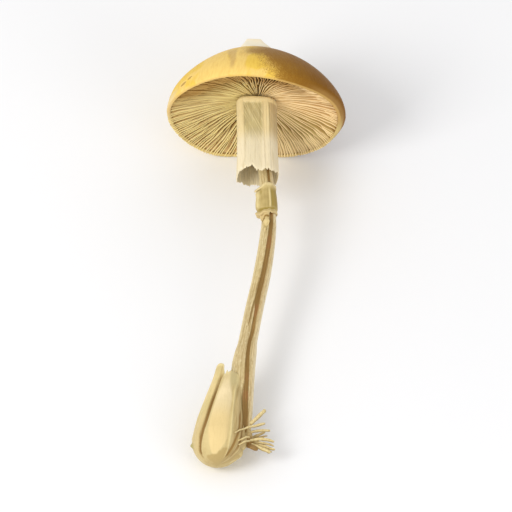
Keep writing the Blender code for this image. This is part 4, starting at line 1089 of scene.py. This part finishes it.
ROOTS = [  # name, replaced node, points (x, seen height, depth), radii at the start, middle and tip, darkness
    ("rootlet_a", "rootlet_1", [(-1.3, -137.6, -1.8), (1.5, -134.9, -2.6), (3.6, -132.8, -2.9), (5.4, -131.0, -2.6)], (0.80, 0.88, 0.74), 0.0),
    ("rootlet_b", "rootlet_2", [(-8.3, -141.4, -9.8), (-5.9, -140.2, -7.9), (-3.2, -139.3, -6.2), (-0.6, -138.6, -5.1), (2.5, -138.0, -4.2), (5.1, -137.1, -3.6)], (0.30, 0.46, 0.66), 0.0),
    ("rootlet_c", "rootlet_3", [(-1.5, -141.3, -1.6), (1.2, -140.7, -1.2), (4.3, -140.4, -0.6), (7.4, -140.5, 0.2)], (0.52, 0.55, 0.44), 0.05),
    ("rootlet_d", "rootlet_4", [(-1.5, -143.8, 0.4), (1.2, -142.9, 1.4), (3.4, -142.0, 2.0), (5.3, -141.1, 2.4)], (0.50, 0.52, 0.40), 0.35),
    ("rootlet_e", "rootlet_5", [(-1.5, -144.9, -2.2), (2.1, -144.4, -2.2), (5.7, -144.5, -1.6), (9.2, -145.5, -0.8)], (0.55, 0.62, 0.50), 0.0),
    ("rootlet_f", "rootlet_6", [(-1.3, -145.8, -0.4), (2.1, -146.6, 0.2), (5.7, -147.8, 0.8), (9.6, -149.1, 1.4)], (0.48, 0.58, 0.50), 0.05),
    ("rootlet_g", "rootlet_7", [(-1.3, -146.4, -1.4), (1.6, -147.7, -1.2), (4.8, -149.0, -0.8), (7.6, -150.4, -0.4)], (0.50, 0.64, 0.64), 0.0),
    ("rootlet_h", None, [(-1.4, -144.0, 1.2), (1.6, -143.7, 2.4), (4.0, -143.2, 3.2), (6.2, -142.9, 3.6)], (0.45, 0.42, 0.28), 0.5),
    ("rootlet_i", None, [(-7.4, -145.4, -6.5), (-5.6, -144.4, -6.9), (-3.6, -143.6, -6.3), (-1.8, -143.5, -4.8)], (0.32, 0.44, 0.40), 0.1),
    ("rootlet_j", None, [(-6.6, -146.9, -6.2), (-4.8, -145.9, -6.6), (-3.0, -145.2, -6.0), (-1.4, -145.2, -4.4)], (0.30, 0.40, 0.36), 0.1),
    ("rootlet_k", None, [(-1.3, -145.2, -1.0), (2.1, -145.7, -0.8), (5.7, -146.3, -0.2), (9.2, -147.4, 0.6)], (0.42, 0.46, 0.36), 0.15),
    ("rootlet_l", None, [(-1.3, -146.2, -0.6), (1.8, -147.2, -0.2), (5.2, -148.6, 0.4), (8.4, -150.2, 1.0)], (0.42, 0.42, 0.30), 0.3),
    ("rootlet_n", None, [(-1.7, -147.4, -1.2), (-0.5, -148.0, -2.0), (0.8, -148.5, -2.1), (2.1, -148.9, -1.7)], (0.80, 1.02, 0.66), 0.9),
]


def make_rootlets():
    material = root_skin()
    made = []
    for k, (name, node, line, radii, dark) in enumerate(ROOTS):
        centres, s = smooth_line([seen(*p) for p in line], 44)
        rng = np.random.RandomState(90 + k)
        for axis in range(3):
            centres[:, axis] += 0.07 * np.sin(s * rng.uniform(0.8, 1.8) + rng.uniform(0, 6)) * step(s, 0, 2)
        t = s / s[-1]
        r = (1.0 if k < 2 else 1.14) * through([(0, radii[0]), (0.5, radii[1]), (0.93, radii[2]), (1.0, radii[2] * 0.55)], t)
        sides = 18
        ang = np.linspace(0, 2 * math.pi, sides, endpoint=False)
        lumps = [0.10 * np.sin(3 * ang + 0.5 * a + k) + 0.07 * np.sin(5 * ang - 0.9 * a) + 0.05 * math.sin(2.3 * a) for a in s]
        P = tube_points(centres, r, sides, lumps=lumps)
        m = sides
        pts = np.vstack([P.reshape(-1, 3), centres[:1], centres[-1:] + (centres[-1] - centres[-2]) * 0.6])
        count = len(centres)
        faces = [grid(count, m, wrap_v=True), fan(np.arange(m), count * m, flip=True), fan(np.arange(m) + (count - 1) * m, count * m + 1)]
        # painted shade: across is 1 on the side that ends up below, where the colour darkens
        rel = (P - centres[:, None, :]) / np.maximum(r[:, None, None], 1e-6)
        shade_below = np.clip(0.5 + 0.55 * rel[..., 1] - 0.45 * rel[..., 2], 0, 1)
        pat = np.stack([np.broadcast_to(s[:, None], shade_below.shape), shade_below, np.full(shade_below.shape, dark)], -1).reshape(-1, 3)
        pat = np.vstack([pat, [[0, 0.5, dark]], [[s[-1], 0.5, dark]]])
        made.append(piece(name, pts, faces, material, [node] if node else (), {"pat": pat}))
    return made


def make_root_crown():
    """The lumpy foot of the stem that the rootlets grow from."""
    nu, nv = 72, 60
    U, V = np.meshgrid(np.linspace(0, 2 * math.pi, nu, endpoint=False), np.linspace(0.02, math.pi - 0.02, nv), indexing="ij")
    d = np.stack([np.sin(V) * np.cos(U), np.sin(V) * np.sin(U), np.cos(V)], -1)
    lump = 1 + 0.09 * ripple(d[..., 0] * 2.4 + 3, d[..., 2] * 2.4 + d[..., 1] * 2, 13, 10, 0.6, 2.0) + 0.10 * wander(U + 0.5 * V, 17, 4, 13, 0.3) * np.sin(V)
    centre = np.array([-3.0, -0.6, -163.4])
    P = centre + d * np.array([2.35, 2.9, 7.3]) * lump[..., None]
    P[..., 0] += 0.22 * (-(P[..., 2] + 163.4))
    pts = np.vstack([P.reshape(-1, 3), centre + [[-1.6, 0, 7.4]], centre + [[1.6, 0, -7.4]]])
    faces = [grid(nu, nv, wrap_u=True), fan(np.arange(nu) * nv, nu * nv), fan(np.arange(nu) * nv + nv - 1, nu * nv + 1, flip=True)]
    low = step(P[..., 2], -163.5, -168.5)
    pat = np.stack([P[..., 2], 0.45 + 0.4 * low, 0.35 + 0.55 * low], -1).reshape(-1, 3)
    pat = np.vstack([pat, [[0, 0.3, 0]], [[0, 0.7, 0.8]]])
    return piece("root_crown", pts, faces, bpy.data.materials["rootlet_look"], (), {"pat": pat})


# ------------------------------------------------------------------ stage, light and camera
def make_stage():
    mesh = bpy.data.meshes.new("floor")
    s = 6.0
    mesh.from_pydata([(-s, -s, 0), (s, -s, 0), (s, s, 0), (-s, s, 0)], [], [(0, 1, 2, 3)])
    floor = bpy.data.objects.new("floor", mesh)
    bpy.context.scene.collection.objects.link(floor)
    m = Mat("pale_floor", 0.9)
    m.bsdf.inputs["Specular IOR Level"].default_value = 0.1
    m.bsdf.inputs["Base Color"].default_value = (0.93, 0.945, 0.98, 1)
    mesh.materials.append(m.mat)
    floor.location.z = -0.00005

    world = bpy.data.worlds.new("pale")
    bpy.context.scene.world = world
    world.use_nodes = True
    world.node_tree.nodes["Background"].inputs[0].default_value = (1.0, 0.985, 0.96, 1)
    world.node_tree.nodes["Background"].inputs[1].default_value = 0.74

    def area(name, at, aim, size, power, colour=(1, 1, 1)):
        data = bpy.data.lights.new(name, "AREA")
        data.shape = "SQUARE"
        data.size = size
        data.energy = power
        data.color = colour
        lamp = bpy.data.objects.new(name, data)
        bpy.context.scene.collection.objects.link(lamp)
        lamp.location = at
        lamp.rotation_mode = "QUATERNION"
        lamp.rotation_quaternion = (Vector(aim) - Vector(at)).to_track_quat("-Z", "Y")
        lamp.visible_camera = False
        return lamp

    area("key", (-0.80, -0.55, 1.00), (0, 0.0, 0.02), 0.6, 8.0, (1.0, 0.98, 0.95))
    area("fill", (0.75, -0.75, 0.55), (0, 0, 0.03), 0.7, 2.0, (1.0, 0.97, 0.93))


def make_camera():
    elevation = math.radians(60.7 - LIE_PITCH)
    data = bpy.data.cameras.new("camera")
    data.type = "ORTHO"
    data.ortho_scale = 0.2304
    data.clip_start, data.clip_end = 0.01, 10.0
    cam = bpy.data.objects.new("camera", data)
    bpy.context.scene.collection.objects.link(cam)
    forward = Vector((0, math.cos(elevation), -math.sin(elevation)))
    up = Vector((0, math.sin(elevation), math.cos(elevation)))
    target = Vector(LIE_AT) + Vector((0.00117, 0, 0)) + up * -0.0619 + forward * -0.03
    cam.location = target - forward * 0.6
    cam.rotation_mode = "QUATERNION"
    cam.rotation_quaternion = forward.to_track_quat("-Z", "Y")
    bpy.context.scene.camera = cam


bpy.context.scene.view_settings.view_transform = "Standard"
bpy.context.scene.view_settings.look = "None"

make_camera()
make_stage()
make_cap()
make_gills()
make_stem()
make_skirt()
make_cuff()
make_flap()
make_volva()
make_rootlets()
make_root_crown()
